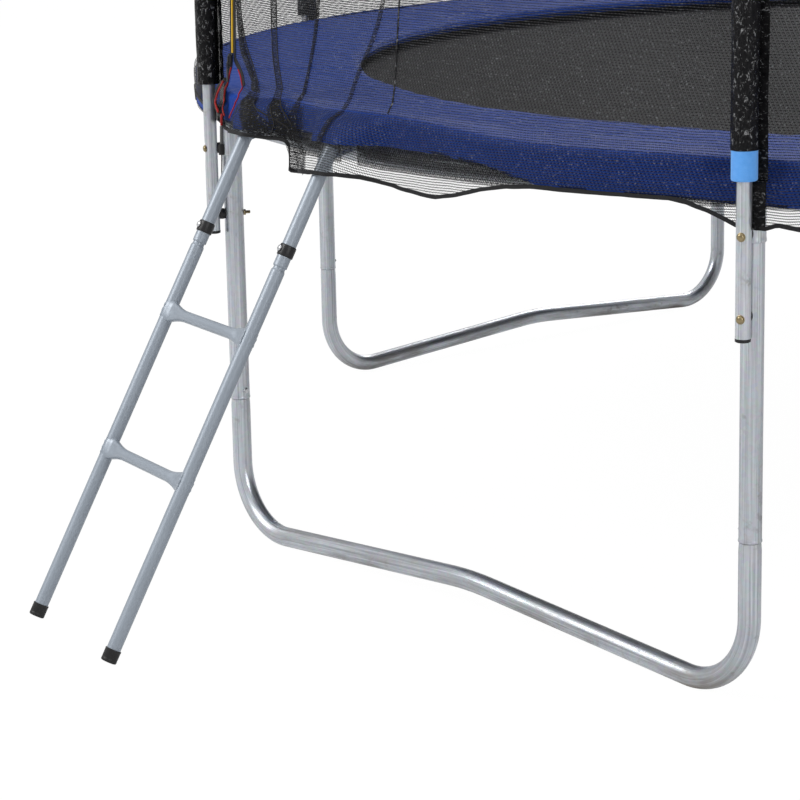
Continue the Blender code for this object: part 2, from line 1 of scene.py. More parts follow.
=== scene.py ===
"""Backyard trampoline with an enclosure net and a ladder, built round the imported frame.

Metres, +Z up, the ground at z = 0, in the CAD's own frame. Shapes are laid out about the mat's
centre and moved to its place in the end. Bearings are degrees anticlockwise from +X: the front
is -90 (-Y), the right 0 (+X). The door and the ladder are at the front.
"""

import json
import math
from functools import cache, cached_property

import bpy
import numpy as np
from mathutils import Matrix, Vector


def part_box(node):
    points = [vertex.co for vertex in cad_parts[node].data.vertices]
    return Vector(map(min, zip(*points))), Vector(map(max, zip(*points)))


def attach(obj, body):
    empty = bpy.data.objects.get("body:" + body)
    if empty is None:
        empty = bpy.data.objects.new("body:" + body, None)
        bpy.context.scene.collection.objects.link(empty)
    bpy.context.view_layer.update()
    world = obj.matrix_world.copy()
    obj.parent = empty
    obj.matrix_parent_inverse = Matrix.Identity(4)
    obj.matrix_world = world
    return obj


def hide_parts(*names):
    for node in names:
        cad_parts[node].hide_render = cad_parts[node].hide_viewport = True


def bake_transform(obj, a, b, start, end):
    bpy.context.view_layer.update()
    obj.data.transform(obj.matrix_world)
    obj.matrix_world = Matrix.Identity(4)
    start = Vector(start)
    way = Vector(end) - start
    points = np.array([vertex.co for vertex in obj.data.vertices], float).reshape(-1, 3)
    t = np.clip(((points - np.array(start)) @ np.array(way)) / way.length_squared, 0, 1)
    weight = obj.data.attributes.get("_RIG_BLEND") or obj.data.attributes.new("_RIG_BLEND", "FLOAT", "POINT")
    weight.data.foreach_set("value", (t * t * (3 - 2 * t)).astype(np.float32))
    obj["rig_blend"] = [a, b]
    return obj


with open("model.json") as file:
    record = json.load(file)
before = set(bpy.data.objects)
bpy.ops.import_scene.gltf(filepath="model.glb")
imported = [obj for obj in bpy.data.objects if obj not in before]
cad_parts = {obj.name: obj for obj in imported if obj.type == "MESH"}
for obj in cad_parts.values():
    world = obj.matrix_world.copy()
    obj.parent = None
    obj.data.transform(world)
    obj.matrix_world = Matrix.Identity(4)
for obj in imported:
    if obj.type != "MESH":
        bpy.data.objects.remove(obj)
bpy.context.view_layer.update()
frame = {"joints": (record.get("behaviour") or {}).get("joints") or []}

# ------------------------------------------------------------------ driving dimensions
UP = np.array([0, 0, 1.0])
mat_low, mat_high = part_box("jumping_mat")
CENTRE = np.array([(mat_low.x + mat_high.x) / 2, (mat_low.y + mat_high.y) / 2, 0.0])

RING_RADIUS, RING_HEIGHT = 1.830, 0.850
TUBE_RADIUS = 0.0190  # legs and ring
SOCKET_RADIUS = 0.0207  # the ring's sockets over the posts
POLE_STEP = 45.0
HALF_STEP = POLE_STEP / 2
FIRST_POLE = -112.5
POLES = [(k + 1, FIRST_POLE + POLE_STEP * k) for k in range(8)]  # (number, bearing)
POLE_CIRCLE, POLE_RADIUS = 1.8715, 0.0125
POLE_LOW, POLE_HIGH = (corner.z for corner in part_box("net_pole_1"))
FOAM_LOW, FOAM_HIGH = (corner.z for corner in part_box("pole_foam_1"))
SHORT_FOAM = (1, 8)  # poles whose foam and sleeve start higher up
BOLT_HEIGHTS = (0.657, 0.788)  # the lower one through the post, the upper through the socket

NET_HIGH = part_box("enclosure_net")[1].z
NET_SPLIT = 0.925  # height between the hanging hem and the upper net
NET_RADIUS = 1.85  # scale of the net's UVs along its run
ZIP = -109.1
DOOR_RIGHT, DOOR_LOW, DOOR_HIGH = -90.15, 0.9254, 2.297
ZIP_AXIS = np.array(next(j["axis"] for j in frame["joints"] if j["name"] == "zip_travel"))

LADDER_AT = -98.33
LEAN = math.radians(28.9)
STILE_SIDE = 0.156  # from the ladder's middle to each stile
FOOT_RADIUS, FOOT_HEIGHT = 2.3605, 0.0073


# ------------------------------------------------------------------ vectors and curves
def unit(vectors):
    return vectors / np.linalg.norm(vectors, axis=-1, keepdims=True)


def square_to(vectors, axis):
    """Unit vectors turned square to axis."""
    vectors = np.asarray(vectors, float)
    return unit(vectors - axis * (vectors * axis).sum(-1, keepdims=True))


def compass(degrees):
    """Unit vectors outwards and anticlockwise at a bearing."""
    angle = np.radians(degrees)
    out = np.array([np.cos(angle), np.sin(angle), 0.0])
    return out, np.cross(UP, out)


def polar(radius, degrees, z):
    angle = np.radians(degrees)
    parts = np.broadcast_arrays(radius * np.cos(angle), radius * np.sin(angle), z)
    return np.stack(parts, -1).astype(float)


def outward(points):
    return unit(points * [1, 1, 0])


def round_angles(count):
    return np.arange(count) * 2 * math.pi / count


def tangents(path, closed):
    if closed:
        return unit(np.roll(path, -1, 0) - np.roll(path, 1, 0))
    return unit(np.gradient(path, axis=0))


def run_lengths(path, closed=False):
    """Distance along path to each point, and back to the first if closed."""
    if closed:
        path = np.vstack([path, path[:1]])
    return np.concatenate([[0], np.cumsum(np.linalg.norm(np.diff(path, axis=0), axis=1))])


def smooth(start, end, x):
    share = np.clip((np.asarray(x, float) - start) / (end - start), 0, 1)
    return share * share * (3 - 2 * share)


def bell(x, width):
    return np.exp(-((x / width) ** 2))


def lookup(x, points):
    """Straight-line value at x through (x, value) points."""
    return np.interp(x, [p[0] for p in points], [p[1] for p in points])


def soften(values, reach, mode="edge", **padding):
    """Running mean over reach neighbours on both sides."""
    size = 2 * reach + 1
    return np.convolve(np.pad(values, reach, mode=mode, **padding), np.ones(size) / size, "valid")


@cache
def noise_table(seed):
    return np.random.RandomState(seed).rand(256, 256) * 2 - 1


def noise(x, y, seed, period=None):
    """Smooth value noise, about -1 to 1; x repeats after period whole cells if one is given."""
    table = noise_table(seed)
    x, y = np.broadcast_arrays(np.asarray(x, float), np.asarray(y, float))
    column, row = np.floor(x).astype(int), np.floor(y).astype(int)
    x, y = (t * t * t * (t * (t * 6 - 15) + 10) for t in (x - column, y - row))
    after = column + 1
    if period:
        column, after = column % period, after % period

    def along(row):
        row = row % 256
        return table[column % 256, row] * (1 - x) + table[after % 256, row] * x

    return along(row) * (1 - y) + along(row + 1) * y


def ridge(x, y, seed, period=None):
    return 1 - 2 * np.abs(noise(x, y, seed, period))


# ------------------------------------------------------------------ meshes
# A strap's section: (across, through) in half widths and half thicknesses, and the share of
# the width each point has in the UV map.
STRAP_SECTION = [(-1, -0.5), (-0.96, -1), (0, -1.1), (0.96, -1), (1, -0.5),
                 (1, 0.5), (0.96, 1), (0, 1.1), (-0.96, 1), (-1, 0.5)]
STRAP_V = np.array([0, 0.02, 0.5, 0.98, 1, 1, 0.98, 0.5, 0.02, 0, 0])


class Build:
    """Collects grids, tubes and turned shapes into one mesh with UVs in metres."""

    def __init__(self):
        self.points, self.quads, self.quad_uvs, self.quad_materials = [], [], [], []
        self.faces = []  # (corners, material, uvs), placed after all quads
        self.count = 0

    def grid(self, points, close_u=False, close_v=False, u=None, v=None, material=0,
             flip=True, keep=None):
        """Quads over rows of points; keep masks the quads. Returns the point numbers."""
        shape = points.shape[:2]
        rows = self.count + np.arange(shape[0] * shape[1]).reshape(shape)
        corners = rows
        if close_u:
            corners = np.vstack([corners, corners[:1]])
        if close_v:
            corners = np.hstack([corners, corners[:, :1]])
        u = np.arange(corners.shape[0]) if u is None else np.asarray(u)
        v = np.arange(corners.shape[1]) if v is None else np.asarray(v)
        if u.ndim == 1:
            u = u[:, None]
        uv = np.stack(np.broadcast_arrays(u, v), -1)
        quads, quad_uvs = (
            np.stack([a[:-1, :-1], a[1:, :-1], a[1:, 1:], a[:-1, 1:]], 2) for a in (corners, uv)
        )
        if keep is not None:
            quads, quad_uvs = quads[keep], quad_uvs[keep]
        quads, quad_uvs = quads.reshape(-1, 4), quad_uvs.reshape(-1, 4, 2)
        if flip:
            quads, quad_uvs = quads[:, ::-1], quad_uvs[:, ::-1]
        self.points.append(points.reshape(-1, 3))
        self.quads.append(quads)
        self.quad_uvs.append(quad_uvs)
        self.quad_materials.append(np.full(len(quads), material))
        self.count += rows.size
        return rows

    def face(self, corners, material=0, uv=None):
        uv = np.zeros((len(corners), 2)) if uv is None else uv
        self.faces.append((np.array(corners), material, uv))

    def close_ends(self, rows, material=0, uv=None):
        self.face(rows[0], material, uv)
        self.face(rows[-1][::-1], material, None if uv is None else uv[::-1])

    def tube(self, path, radius, sides=24, material=0, closed=False, normal=None):
        """A round tube along path. Returns its points, which may be pressed in place."""
        path = np.asarray(path, float)
        tangent = tangents(path, closed)
        if normal is None:
            first = UP if abs(tangent[0][2]) < 0.9 else np.array([1.0, 0, 0])
            carried = [square_to(first, tangent[0])]
            for direction in tangent[1:]:
                carried.append(square_to(carried[-1], direction))
            first_side = np.array(carried)
        else:
            first_side = square_to(normal, tangent)
        second_side = np.cross(tangent, first_side)
        angle = round_angles(sides)
        radius = np.broadcast_to(np.asarray(radius, float), (len(path),))
        points = (
            path[:, None]
            + first_side[:, None] * (np.cos(angle)[None, :, None] * radius[:, None, None])
            + second_side[:, None] * (np.sin(angle)[None, :, None] * radius[:, None, None])
        )
        v = np.arange(sides + 1) * 2 * math.pi / sides * float(np.median(radius))
        rows = self.grid(points, closed, True, run_lengths(path, closed), v, material)
        if not closed:
            self.close_ends(rows, material, np.stack([np.cos(angle), np.sin(angle)], -1) * 0.01)
        return self.points[-1]

    def turned(self, profile, origin, axis=UP, sides=24, material=0, ref=None, phase=0.0):
        """A profile of (radius, height) turned about axis, with flat ends. Returns its points."""
        axis = unit(np.asarray(axis, float))
        if ref is None:
            ref = [1.0, 0, 0] if abs(axis[0]) < 0.9 else [0, 1.0, 0]
        first_side = square_to(ref, axis)
        second_side = np.cross(axis, first_side)
        profile = np.array(profile, float)
        angle = (np.arange(sides) + phase) * 2 * math.pi / sides
        around = first_side * np.cos(angle)[:, None] + second_side * np.sin(angle)[:, None]
        points = origin + (
            around[None] * profile[:, 0][:, None, None]
            + axis[None, None] * profile[:, 1][:, None, None]
        )
        v = np.arange(sides + 1) / sides * 2 * math.pi * profile[:, 0].max()
        rows = self.grid(points, close_v=True, u=run_lengths(profile), v=v, material=material)
        self.close_ends(rows, material, np.stack([np.cos(angle), np.sin(angle)], -1) * 0.01)
        return self.points[-1]

    def ribbon(self, path, across, width, thick, material=0, closed=False):
        """A flat strap along path, its width lying along across."""
        path = np.asarray(path, float)
        tangent = tangents(path, closed)
        across = square_to(across, tangent)
        normal = np.cross(tangent, across)
        half = np.broadcast_to(np.asarray(width, float), (len(path),))[:, None] / 2
        points = np.stack(
            [path + across * half * a + normal * thick / 2 * b for a, b in STRAP_SECTION], 1
        )
        v = STRAP_V * float(np.median(half)) * 2
        rows = self.grid(points, closed, True, run_lengths(path, closed), v, material)
        if not closed:
            self.close_ends(rows, material)

    def box(self, centre, axes, size, bevel):
        """A block with bevelled edges along three unit axes."""
        half_x, half_y, half_z = (length / 2 for length in size)
        layers = []
        for height, inset in ((-half_z, bevel), (bevel - half_z, 0),
                              (half_z - bevel, 0), (half_z, bevel)):
            layer = []
            x, y = half_x - inset, half_y - inset
            for side_x, side_y in ((1, 1), (-1, 1), (-1, -1), (1, -1)):
                pair = [(x * side_x, (y - bevel) * side_y), ((x - bevel) * side_x, y * side_y)]
                if side_x * side_y < 0:
                    pair.reverse()
                layer += pair
            layers.append([centre + axes[0] * a + axes[1] * b + axes[2] * height
                           for a, b in layer])
        u = [0, bevel, half_z * 2 - bevel, half_z * 2]
        self.close_ends(self.grid(np.array(layers), close_v=True, u=u, v=np.arange(9) * 0.01))

    def make(self, name, materials, slot, body="frame", stands=(), sharp=60, weight=None):
        """Makes the object. It rides on body or, given weight(radius, degrees, z), follows the
        frame at weight 0 and body at weight 1."""
        quads = np.concatenate(self.quads)
        corners = np.concatenate([quads.ravel()] + [f[0] for f in self.faces]).astype(int)
        uvs = np.concatenate(
            [np.concatenate(self.quad_uvs).reshape(-1, 2)] + [f[2] for f in self.faces]
        )
        counts = np.array([4] * len(quads) + [len(f[0]) for f in self.faces])
        slots = np.concatenate(self.quad_materials + [[f[1] for f in self.faces]])
        used = np.zeros(self.count, bool)
        used[corners] = True
        points = (np.concatenate(self.points) + CENTRE)[used].astype(np.float32)
        corners = (np.cumsum(used) - 1)[corners]
        mesh = bpy.data.meshes.new(name)
        mesh.vertices.add(len(points))
        mesh.vertices.foreach_set("co", points.ravel())
        mesh.loops.add(len(corners))
        mesh.loops.foreach_set("vertex_index", corners.astype(np.int32))
        mesh.polygons.add(len(counts))
        mesh.polygons.foreach_set("loop_start", (np.cumsum(counts) - counts).astype(np.int32))
        mesh.polygons.foreach_set("material_index", slots.astype(np.int32))
        layer = mesh.uv_layers.new(name="UVMap")
        layer.data.foreach_set("uv", uvs.astype(np.float32).ravel())
        mesh.update(calc_edges=True)
        mesh.validate(clean_customdata=False)
        for material in materials:
            mesh.materials.append(material)
        mesh.shade_smooth()
        mesh.set_sharp_from_angle(angle=math.radians(sharp))
        thing = bpy.data.objects.new(name, mesh)
        bpy.context.scene.collection.objects.link(thing)
        if weight is None:
            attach(thing, body)
        if weight is not None:
            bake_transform(thing, "frame", body, start=tuple(CENTRE), end=tuple(CENTRE + UP))
            x, y, z = (points.astype(float) - CENTRE).T
            share = np.clip(weight(np.hypot(x, y), np.degrees(np.arctan2(y, x)), z), 0, 1)
            blend = thing.data.attributes["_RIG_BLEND"]
            blend.data.foreach_set("value", share.astype(np.float32))
        if stands:
            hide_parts(*stands)


# ------------------------------------------------------------------ shader nodes
class Shader:
    """A short way to write a node tree, for a material or the world."""

    def __init__(self, name, blocks=bpy.data.materials, output="OutputMaterial"):
        self.block = blocks.new(name)
        self.block.use_nodes = True
        self.tree = self.block.node_tree
        self.tree.nodes.clear()
        self.output = self.node(output)

    def node(self, kind, inputs=(), **settings):
        node = self.tree.nodes.new("ShaderNode" + kind)
        for key, value in settings.items():
            setattr(node, key, value)
        for socket, value in dict(inputs).items():
            if value is not None:
                self.feed(node.inputs[socket], value)
        return node

    def feed(self, socket, value):
        """Links a socket to another, or sets its value; a colour may leave out its alpha."""
        if isinstance(value, bpy.types.NodeSocket):
            self.tree.links.new(value, socket)
        elif isinstance(value, tuple) and len(value) < len(socket.default_value):
            socket.default_value = (*value, 1.0)
        else:
            socket.default_value = value

    @cached_property
    def place(self):
        return self.node("TexCoord").outputs["Object"]

    @cached_property
    def uv(self):
        return self.node("UVMap", uv_map="UVMap").outputs[0]

    def math(self, operation, first, second=0.0, third=0.0, clamp=False):
        values = {0: first, 1: second, 2: third}
        return self.node("Math", values, operation=operation, use_clamp=clamp).outputs[0]

    def times(self, first, second, clamp=False):
        return self.math("MULTIPLY", first, second, clamp=clamp)

    def add(self, first, second, clamp=False):
        return self.math("ADD", first, second, clamp=clamp)

    def ranged(self, value, span, least):
        return self.add(self.times(value, span), least)

    def xyz(self, vector):
        return self.node("SeparateXYZ", {0: vector}).outputs

    def stretched(self, along, across):
        inputs = {"Vector": self.uv, "Scale": (along, across, 1)}
        return self.node("Mapping", inputs).outputs[0]

    def noise(self, scale, detail=3.0, rough=0.5, distort=0.0, coords=None):
        inputs = {
            "Vector": coords or self.place,
            "Scale": scale,
            "Detail": detail,
            "Roughness": rough,
            "Distortion": distort,
        }
        return self.node("TexNoise", inputs).outputs[0]

    def uv_noise(self, along, across, detail=3.0, rough=0.5, distort=0.0):
        coords = self.stretched(along, across)
        return self.noise(1.0, detail, rough, distort, coords)

    def cells(self, scale, output="Distance", coords=None):
        inputs = {"Vector": coords or self.place, "Scale": scale}
        return self.node("TexVoronoi", inputs, feature="F1").outputs[output]

    def weave(self, coords, rate):
        """Bumps in squares; rate is in radians per metre."""
        x, y = self.xyz(coords)[:2]
        first, second = (self.math("SINE", self.times(part, rate)) for part in (x, y))
        return self.times(first, second)

    def ramp(self, factor, *stops):
        """Stops are (position, grey or colour)."""
        node = self.node("ValToRGB")
        elements = node.color_ramp.elements
        while len(elements) < len(stops):
            elements.new(0.5)
        for element, (position, colour) in zip(elements, stops):
            element.position = position
            element.color = (*colour, 1) if isinstance(colour, tuple) else (*[colour] * 3, 1)
        self.feed(node.inputs[0], factor)
        return node.outputs[0]

    def rise(self, factor, start, end):
        """0 up to start, 1 from end."""
        return self.ramp(factor, (start, 0.0), (end, 1.0))

    def mix(self, factor, first, second, mode="MIX"):
        inputs = {0: factor, 6: first, 7: second}
        return self.node("Mix", inputs, data_type="RGBA", blend_type=mode).outputs[2]

    def shade(self, amount, tone, factor, dark, bright=1.0, start=0.3, end=0.7):
        """Darkens tone where factor is low."""
        return self.mix(amount, tone, self.ramp(factor, (start, dark), (end, bright)), "MULTIPLY")

    def bump(self, height, strength, distance, normal=None):
        inputs = {"Strength": strength, "Distance": distance, "Height": height, "Normal": normal}
        return self.node("Bump", inputs).outputs[0]

    def mix_shaders(self, factor, first, second):
        return self.node("MixShader", {0: factor, 1: first, 2: second}).outputs[0]

    def finish(self, shader):
        self.tree.links.new(shader, self.output.inputs[0])
        return self.block

    def surface(self, colour, rough, normal, metal=0.0, alpha=None, **more):
        inputs = {"Base Color": colour, "Roughness": rough, "Metallic": metal, "Normal": normal}
        inputs.update({key.replace("_", " "): value for key, value in more.items()})
        shader = self.node("BsdfPrincipled", inputs).outputs[0]
        if alpha is not None:
            clear = self.node("BsdfTransparent").outputs[0]
            shader = self.mix_shaders(alpha, clear, shader)
        return self.finish(shader)


# ------------------------------------------------------------------ materials
def galvanised(name, base=(0.62, 0.655, 0.70), dirt=0.0):
    """Streaked and clouded zinc with scuffs; dirt soils it near the ground."""
    look = Shader(name)
    metal = 0.80
    streak = look.uv_noise(along=2.2, across=260, detail=4, rough=0.6)
    fine = look.uv_noise(along=14, across=900, detail=3, rough=0.6)
    cloud = look.noise(scale=9.0, detail=4, rough=0.6)
    spangle = look.cells(scale=130, output="Color")
    spots = look.noise(scale=60, detail=3, rough=0.6)
    tone = look.ramp(streak, (0.28, (0.32, 0.345, 0.38)), (0.52, base), (0.76, (0.86, 0.90, 0.95)))
    tone = look.shade(0.42, tone, fine, dark=0.42, bright=0.92)
    tone = look.mix(0.06, tone, spangle, "OVERLAY")
    tone = look.mix(look.times(look.rise(cloud, 0.45, 0.75), 0.4), tone, (0.40, 0.42, 0.45))
    scuff = look.times(look.rise(spots, 0.55, 0.68), look.rise(cloud, 0.5, 0.62))
    scuff = look.rise(scuff, 0.0, 1.0)
    tone = look.mix(look.times(scuff, 0.5), tone, (0.28, 0.27, 0.26))
    rough = look.ranged(streak, span=0.22, least=0.20)
    rough = look.add(rough, look.times(scuff, 0.25))
    if dirt:
        fade_height = 0.085
        height = look.times(look.xyz(look.place)[2], 1 / fade_height)
        low = look.math("SUBTRACT", 1.0, height, clamp=True)
        patches = look.rise(look.uv_noise(along=5, across=30, detail=5, rough=0.65), 0.42, 0.62)
        soil = look.times(look.times(low, patches), dirt, clamp=True)
        tone = look.mix(soil, tone, (0.20, 0.17, 0.14))
        rough = look.add(rough, look.times(soil, 0.3), clamp=True)
        metal = look.math("SUBTRACT", metal, look.times(soil, 0.6))
    normal = look.bump(fine, strength=0.10, distance=0.0004)
    normal = look.bump(cloud, strength=0.06, distance=0.004, normal=normal)
    return look.surface(tone, rough, normal, metal)


def powder_coat():
    """Blue-grey coat with small pale chips."""
    look = Shader("powder_coat")
    cloud = look.noise(scale=14)
    tone = look.mix(cloud, (0.275, 0.315, 0.365), (0.320, 0.362, 0.415))
    chips = look.rise(look.noise(scale=220, detail=2), 0.73, 0.76)
    tone = look.mix(look.times(chips, 0.5), tone, (0.55, 0.56, 0.57))
    normal = look.bump(look.noise(scale=900, detail=2), strength=0.025, distance=0.0002)
    rough = look.ranged(cloud, span=0.10, least=0.34)
    return look.surface(tone, rough, normal, metal=0.15, Coat_Weight=0.15, Coat_Roughness=0.25)


def plastic(name, colour=(0.0055, 0.0055, 0.0062), rough=0.38):
    look = Shader(name)
    cloud = look.noise(scale=60)
    pale = tuple(min(1, part * 1.9 + 0.004) for part in colour)
    tone = look.mix(cloud, colour, pale)
    normal = look.bump(look.noise(scale=700, detail=2), strength=0.2, distance=0.0003)
    rough = look.ranged(cloud, span=0.15, least=rough - 0.07)
    return look.surface(tone, rough, normal, Specular_IOR_Level=0.35)


def zinc(name, dark, pale, rough=0.28):
    look = Shader(name)
    cloud = look.noise(scale=160, rough=0.6)
    normal = look.bump(look.noise(scale=1200, detail=2), strength=0.15, distance=0.0002)
    tone = look.mix(cloud, dark, pale)
    rough = look.ranged(cloud, span=0.2, least=rough - 0.1)
    return look.surface(tone, rough, normal, metal=1.0)


def foam():
    look = Shader("pole_foam_blue")
    cell = look.cells(scale=900)
    cloud = look.noise(scale=120, detail=4, rough=0.6)
    tone = look.mix(cloud, (0.075, 0.33, 0.86), (0.16, 0.46, 0.97))
    # painted shade: the tone is darkened in the pores, the pits of the bump below
    tone = look.shade(0.25, tone, cell, dark=0.5, start=0.0, end=0.5)
    normal = look.bump(cell, strength=0.5, distance=0.0006)
    return look.surface(tone, 0.85, normal, Sheen_Weight=0.2)


def sleeve_sheet():
    """Glossy black crumpled sheet; its fold ridges get more specular and a painted highlight, a pale tone
    standing in for glints.
    """
    look = Shader("sleeve_sheet")
    wave = look.uv_noise(along=16, across=60, detail=4, rough=0.6, distort=0.6)
    crumple = look.uv_noise(along=60, across=120, detail=5, rough=0.7, distort=1.0)
    normal = look.bump(look.weave(look.uv, rate=2800), strength=0.12, distance=0.0003)
    normal = look.bump(crumple, strength=0.85, distance=0.0032, normal=normal)
    normal = look.bump(wave, strength=0.5, distance=0.006, normal=normal)
    tone = look.mix(crumple, (0.0015, 0.0015, 0.0018), (0.0060, 0.0060, 0.0070))
    rough = look.ranged(crumple, span=0.25, least=0.06)
    # fold ridges: the mask for the raised specular and for the painted highlight below
    folds = look.uv_noise(along=95, across=150, detail=4, rough=0.75, distort=1.0)
    folds = look.rise(folds, 0.555, 0.63)
    specular = look.ranged(folds, span=1.3, least=0.12)
    # painted highlight: a pale tone on the fold ridges, standing in for glints of light
    pale = look.times(look.rise(folds, 0.6, 1.0), 0.36)
    tone = look.mix(pale, tone, (0.33, 0.34, 0.36))
    return look.surface(tone, rough, normal, Specular_IOR_Level=specular)


def pad_vinyl():
    """Creased blue woven vinyl, with painted shade in its creases."""
    look = Shader("pad_vinyl")
    weave = look.weave(look.uv, rate=2100)
    cloud = look.noise(scale=5, detail=4, rough=0.55)
    crease = look.noise(scale=26, detail=5, rough=0.6, distort=0.8)
    fine = look.noise(scale=110, detail=4, rough=0.6, distort=0.4)
    tone = look.mix(cloud, (0.0070, 0.040, 0.265), (0.0115, 0.062, 0.360))
    # painted shade: the tone is darkened in the creases of the crease noise, which also drives the bump
    tone = look.shade(0.35, tone, crease, dark=0.72)
    tone = look.mix(look.times(look.rise(fine, 0.62, 0.72), 0.10), tone, (0.10, 0.16, 0.42))
    normal = look.bump(weave, strength=0.10, distance=0.0004)
    normal = look.bump(fine, strength=0.35, distance=0.0020, normal=normal)
    normal = look.bump(crease, strength=0.85, distance=0.011, normal=normal)
    rough = look.add(look.ranged(crease, span=0.22, least=0.30), 0.12)
    return look.surface(tone, rough, normal, Specular_IOR_Level=0.10)


def mat_weave():
    look = Shader("mat_weave")
    thread_pitch = 0.0042
    weave = look.weave(look.place, rate=2 * math.pi / thread_pitch)
    cloud = look.noise(scale=3.0)
    tone = look.mix(cloud, (0.0060, 0.0060, 0.0070), (0.0120, 0.0120, 0.0135))
    tone = look.mix(look.times(look.rise(weave, 0.3, 0.9), 0.5), tone, (0.040, 0.040, 0.044))
    normal = look.bump(weave, strength=0.5, distance=0.0008)
    normal = look.bump(look.noise(scale=12), strength=0.2, distance=0.01, normal=normal)
    return look.surface(tone, 0.60, normal, Specular_IOR_Level=0.10)


def knitted(name, rows=0.0043, columns=0.0036, thick=0.28, tie=0.17,
            tone=(0.0045, 0.0045, 0.0050), light=(0.115, 0.117, 0.122)):
    """Wavy rows of thread tied by short slanted threads, open between. rows and columns are
    pitches; thick and tie are the threads' shares of them; tone is the thread colour and light the colour of
    the painted highlight on it."""
    look = Shader(name)
    u, v = look.xyz(look.uv)[:2]
    row = look.math("DIVIDE", v, rows)
    wave = look.times(look.math("SINE", look.times(u, 2 * math.pi / columns)), 0.10)
    wobble = look.math("SUBTRACT", look.uv_noise(along=20, across=20), 0.5)
    wobble = look.times(wobble, 0.9)

    def row_number():
        return look.math("FLOOR", look.add(row, wobble))

    in_row = look.math("FRACT", look.add(look.add(row, wave), wobble))
    from_middle = look.math("ABSOLUTE", look.math("SUBTRACT", in_row, 0.5))
    thread = look.math("LESS_THAN", from_middle, thick / 2 + 0.02)
    stagger = look.times(look.math("MODULO", row_number(), 2.0), 0.5)
    slant = look.add(stagger, look.times(in_row, 0.35))
    in_column = look.math("FRACT", look.add(look.math("DIVIDE", u, columns), slant))
    from_tie = look.math("ABSOLUTE", look.math("SUBTRACT", in_column, 0.5))
    alpha = look.math("MAXIMUM", thread, look.math("LESS_THAN", from_tie, tie / 2))
    shade = look.noise(scale=7, rough=0.6)
    phase = look.add(look.times(u, math.pi / columns), look.times(row_number(), 1.7))
    loops = look.ranged(look.math("SINE", phase), span=0.5, least=0.5)
    # painted highlight: dotted loops along each row's middle, lightened towards light
    knit_highlight = look.ramp(from_middle, (0.0, 1.0), (0.22, 0.0))
    knit_highlight = look.times(knit_highlight, look.times(loops, loops))
    colour = look.mix(knit_highlight, tone, light)
    # painted glints: the tone lightened on single loops of thread, standing in for loops that catch the
    # light
    cell = look.cells(1.0, "Color", look.stretched(along=520, across=430))
    glint = look.times(look.math("GREATER_THAN", look.xyz(cell)[0], 0.955), 0.42)
    colour = look.mix(glint, colour, (0.30, 0.31, 0.33))
    colour = look.shade(0.3, colour, shade, dark=0.6)
    height = look.math("SUBTRACT", 0.5, from_middle)
    normal = look.bump(height, strength=0.6, distance=0.0010)
    return look.surface(colour, 0.55, normal, alpha=alpha, Specular_IOR_Level=0.10)


def webbing(name, dark=(0.0040, 0.0040, 0.0045), pale=(0.016, 0.016, 0.018), rough=0.6,
            pitch=0.0016):
    """Diagonal weave of two tones."""
    look = Shader(name)
    u, v = look.xyz(look.uv)[:2]
    rate = math.pi / pitch
    diagonals = [
        look.math("SINE", look.math(operation, look.times(u, rate), look.times(v, rate)))
        for operation in ("ADD", "SUBTRACT")
    ]
    weave = look.math("MAXIMUM", *diagonals)
    shade = look.noise(scale=40, rough=0.6)
    tone = look.mix(look.rise(weave, 0.2, 1.0), dark, pale)
    tone = look.shade(0.3, tone, shade, dark=0.55)
    normal = look.bump(weave, strength=0.5, distance=0.0005)
    return look.surface(tone, rough, normal, Specular_IOR_Level=0.25)


STEEL = galvanised("galvanised_steel")
STEEL_LOW = galvanised("galvanised_steel_base", dirt=0.9)
POLE_STEEL = galvanised("galvanised_pole", base=(0.66, 0.69, 0.73))
POWDER = powder_coat()
PLASTIC = plastic("black_plastic")
RUBBER = plastic("black_rubber", colour=(0.0050, 0.0050, 0.0052), rough=0.50)
YELLOW_ZINC = zinc("zinc_yellow", dark=(0.20, 0.155, 0.085), pale=(0.42, 0.34, 0.20), rough=0.32)
PLAIN_ZINC = zinc("zinc_plain", dark=(0.45, 0.46, 0.48), pale=(0.75, 0.76, 0.78))
SPRING_ZINC = zinc("spring_zinc", dark=(0.45, 0.46, 0.49), pale=(0.68, 0.69, 0.72), rough=0.34)
FOAM = foam()
SHEET = sleeve_sheet()
VINYL = pad_vinyl()
MAT_WEAVE = mat_weave()
NET = knitted("net_mesh")
# denser, darker doubled mesh; its light is a fainter painted highlight
DOUBLE_NET = knitted(
    "net_mesh_double", rows=0.0027, columns=0.0024, thick=0.46, tie=0.36,
    tone=(0.0030, 0.0030, 0.0034), light=(0.030, 0.030, 0.033),
)
TAPE = webbing("black_binding")
GREY_WEB = webbing("grey_webbing", dark=(0.10, 0.10, 0.10), pale=(0.22, 0.22, 0.22))
YELLOW_TAPE = webbing(
    "zip_tape_yellow", dark=(0.80, 0.46, 0.015), pale=(0.95, 0.62, 0.05), rough=0.55, pitch=0.0010
)
RED_PIPING = webbing(
    "piping_red", dark=(0.30, 0.008, 0.008), pale=(0.55, 0.03, 0.025), rough=0.5, pitch=0.0012
)

# ------------------------------------------------------------------ legs: bent bases and posts
HALF_BASE = RING_RADIUS * math.sin(math.radians(HALF_STEP))
BASE_PLANE = RING_RADIUS * math.cos(math.radians(HALF_STEP))
SEAM_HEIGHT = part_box("leg_base_front")[1].z - 0.050  # where a post meets its base
BEND_RADIUS = 0.132
BEND_HEIGHT = BEND_RADIUS + TUBE_RADIUS
BAR_RISE = math.radians(3.955)
KNEE = 0.055  # half the length of the soft bend at the bar's middle
# The post's lower lip: (height over the seam, radius over the tube's).
POST_LIP = [(0.0002, -0.0007), (0.0007, 0.0002), (0.0018, 0.0007),
            (0.0034, 0.0008), (0.0052, 0.0004), (0.0075, 0.0)]


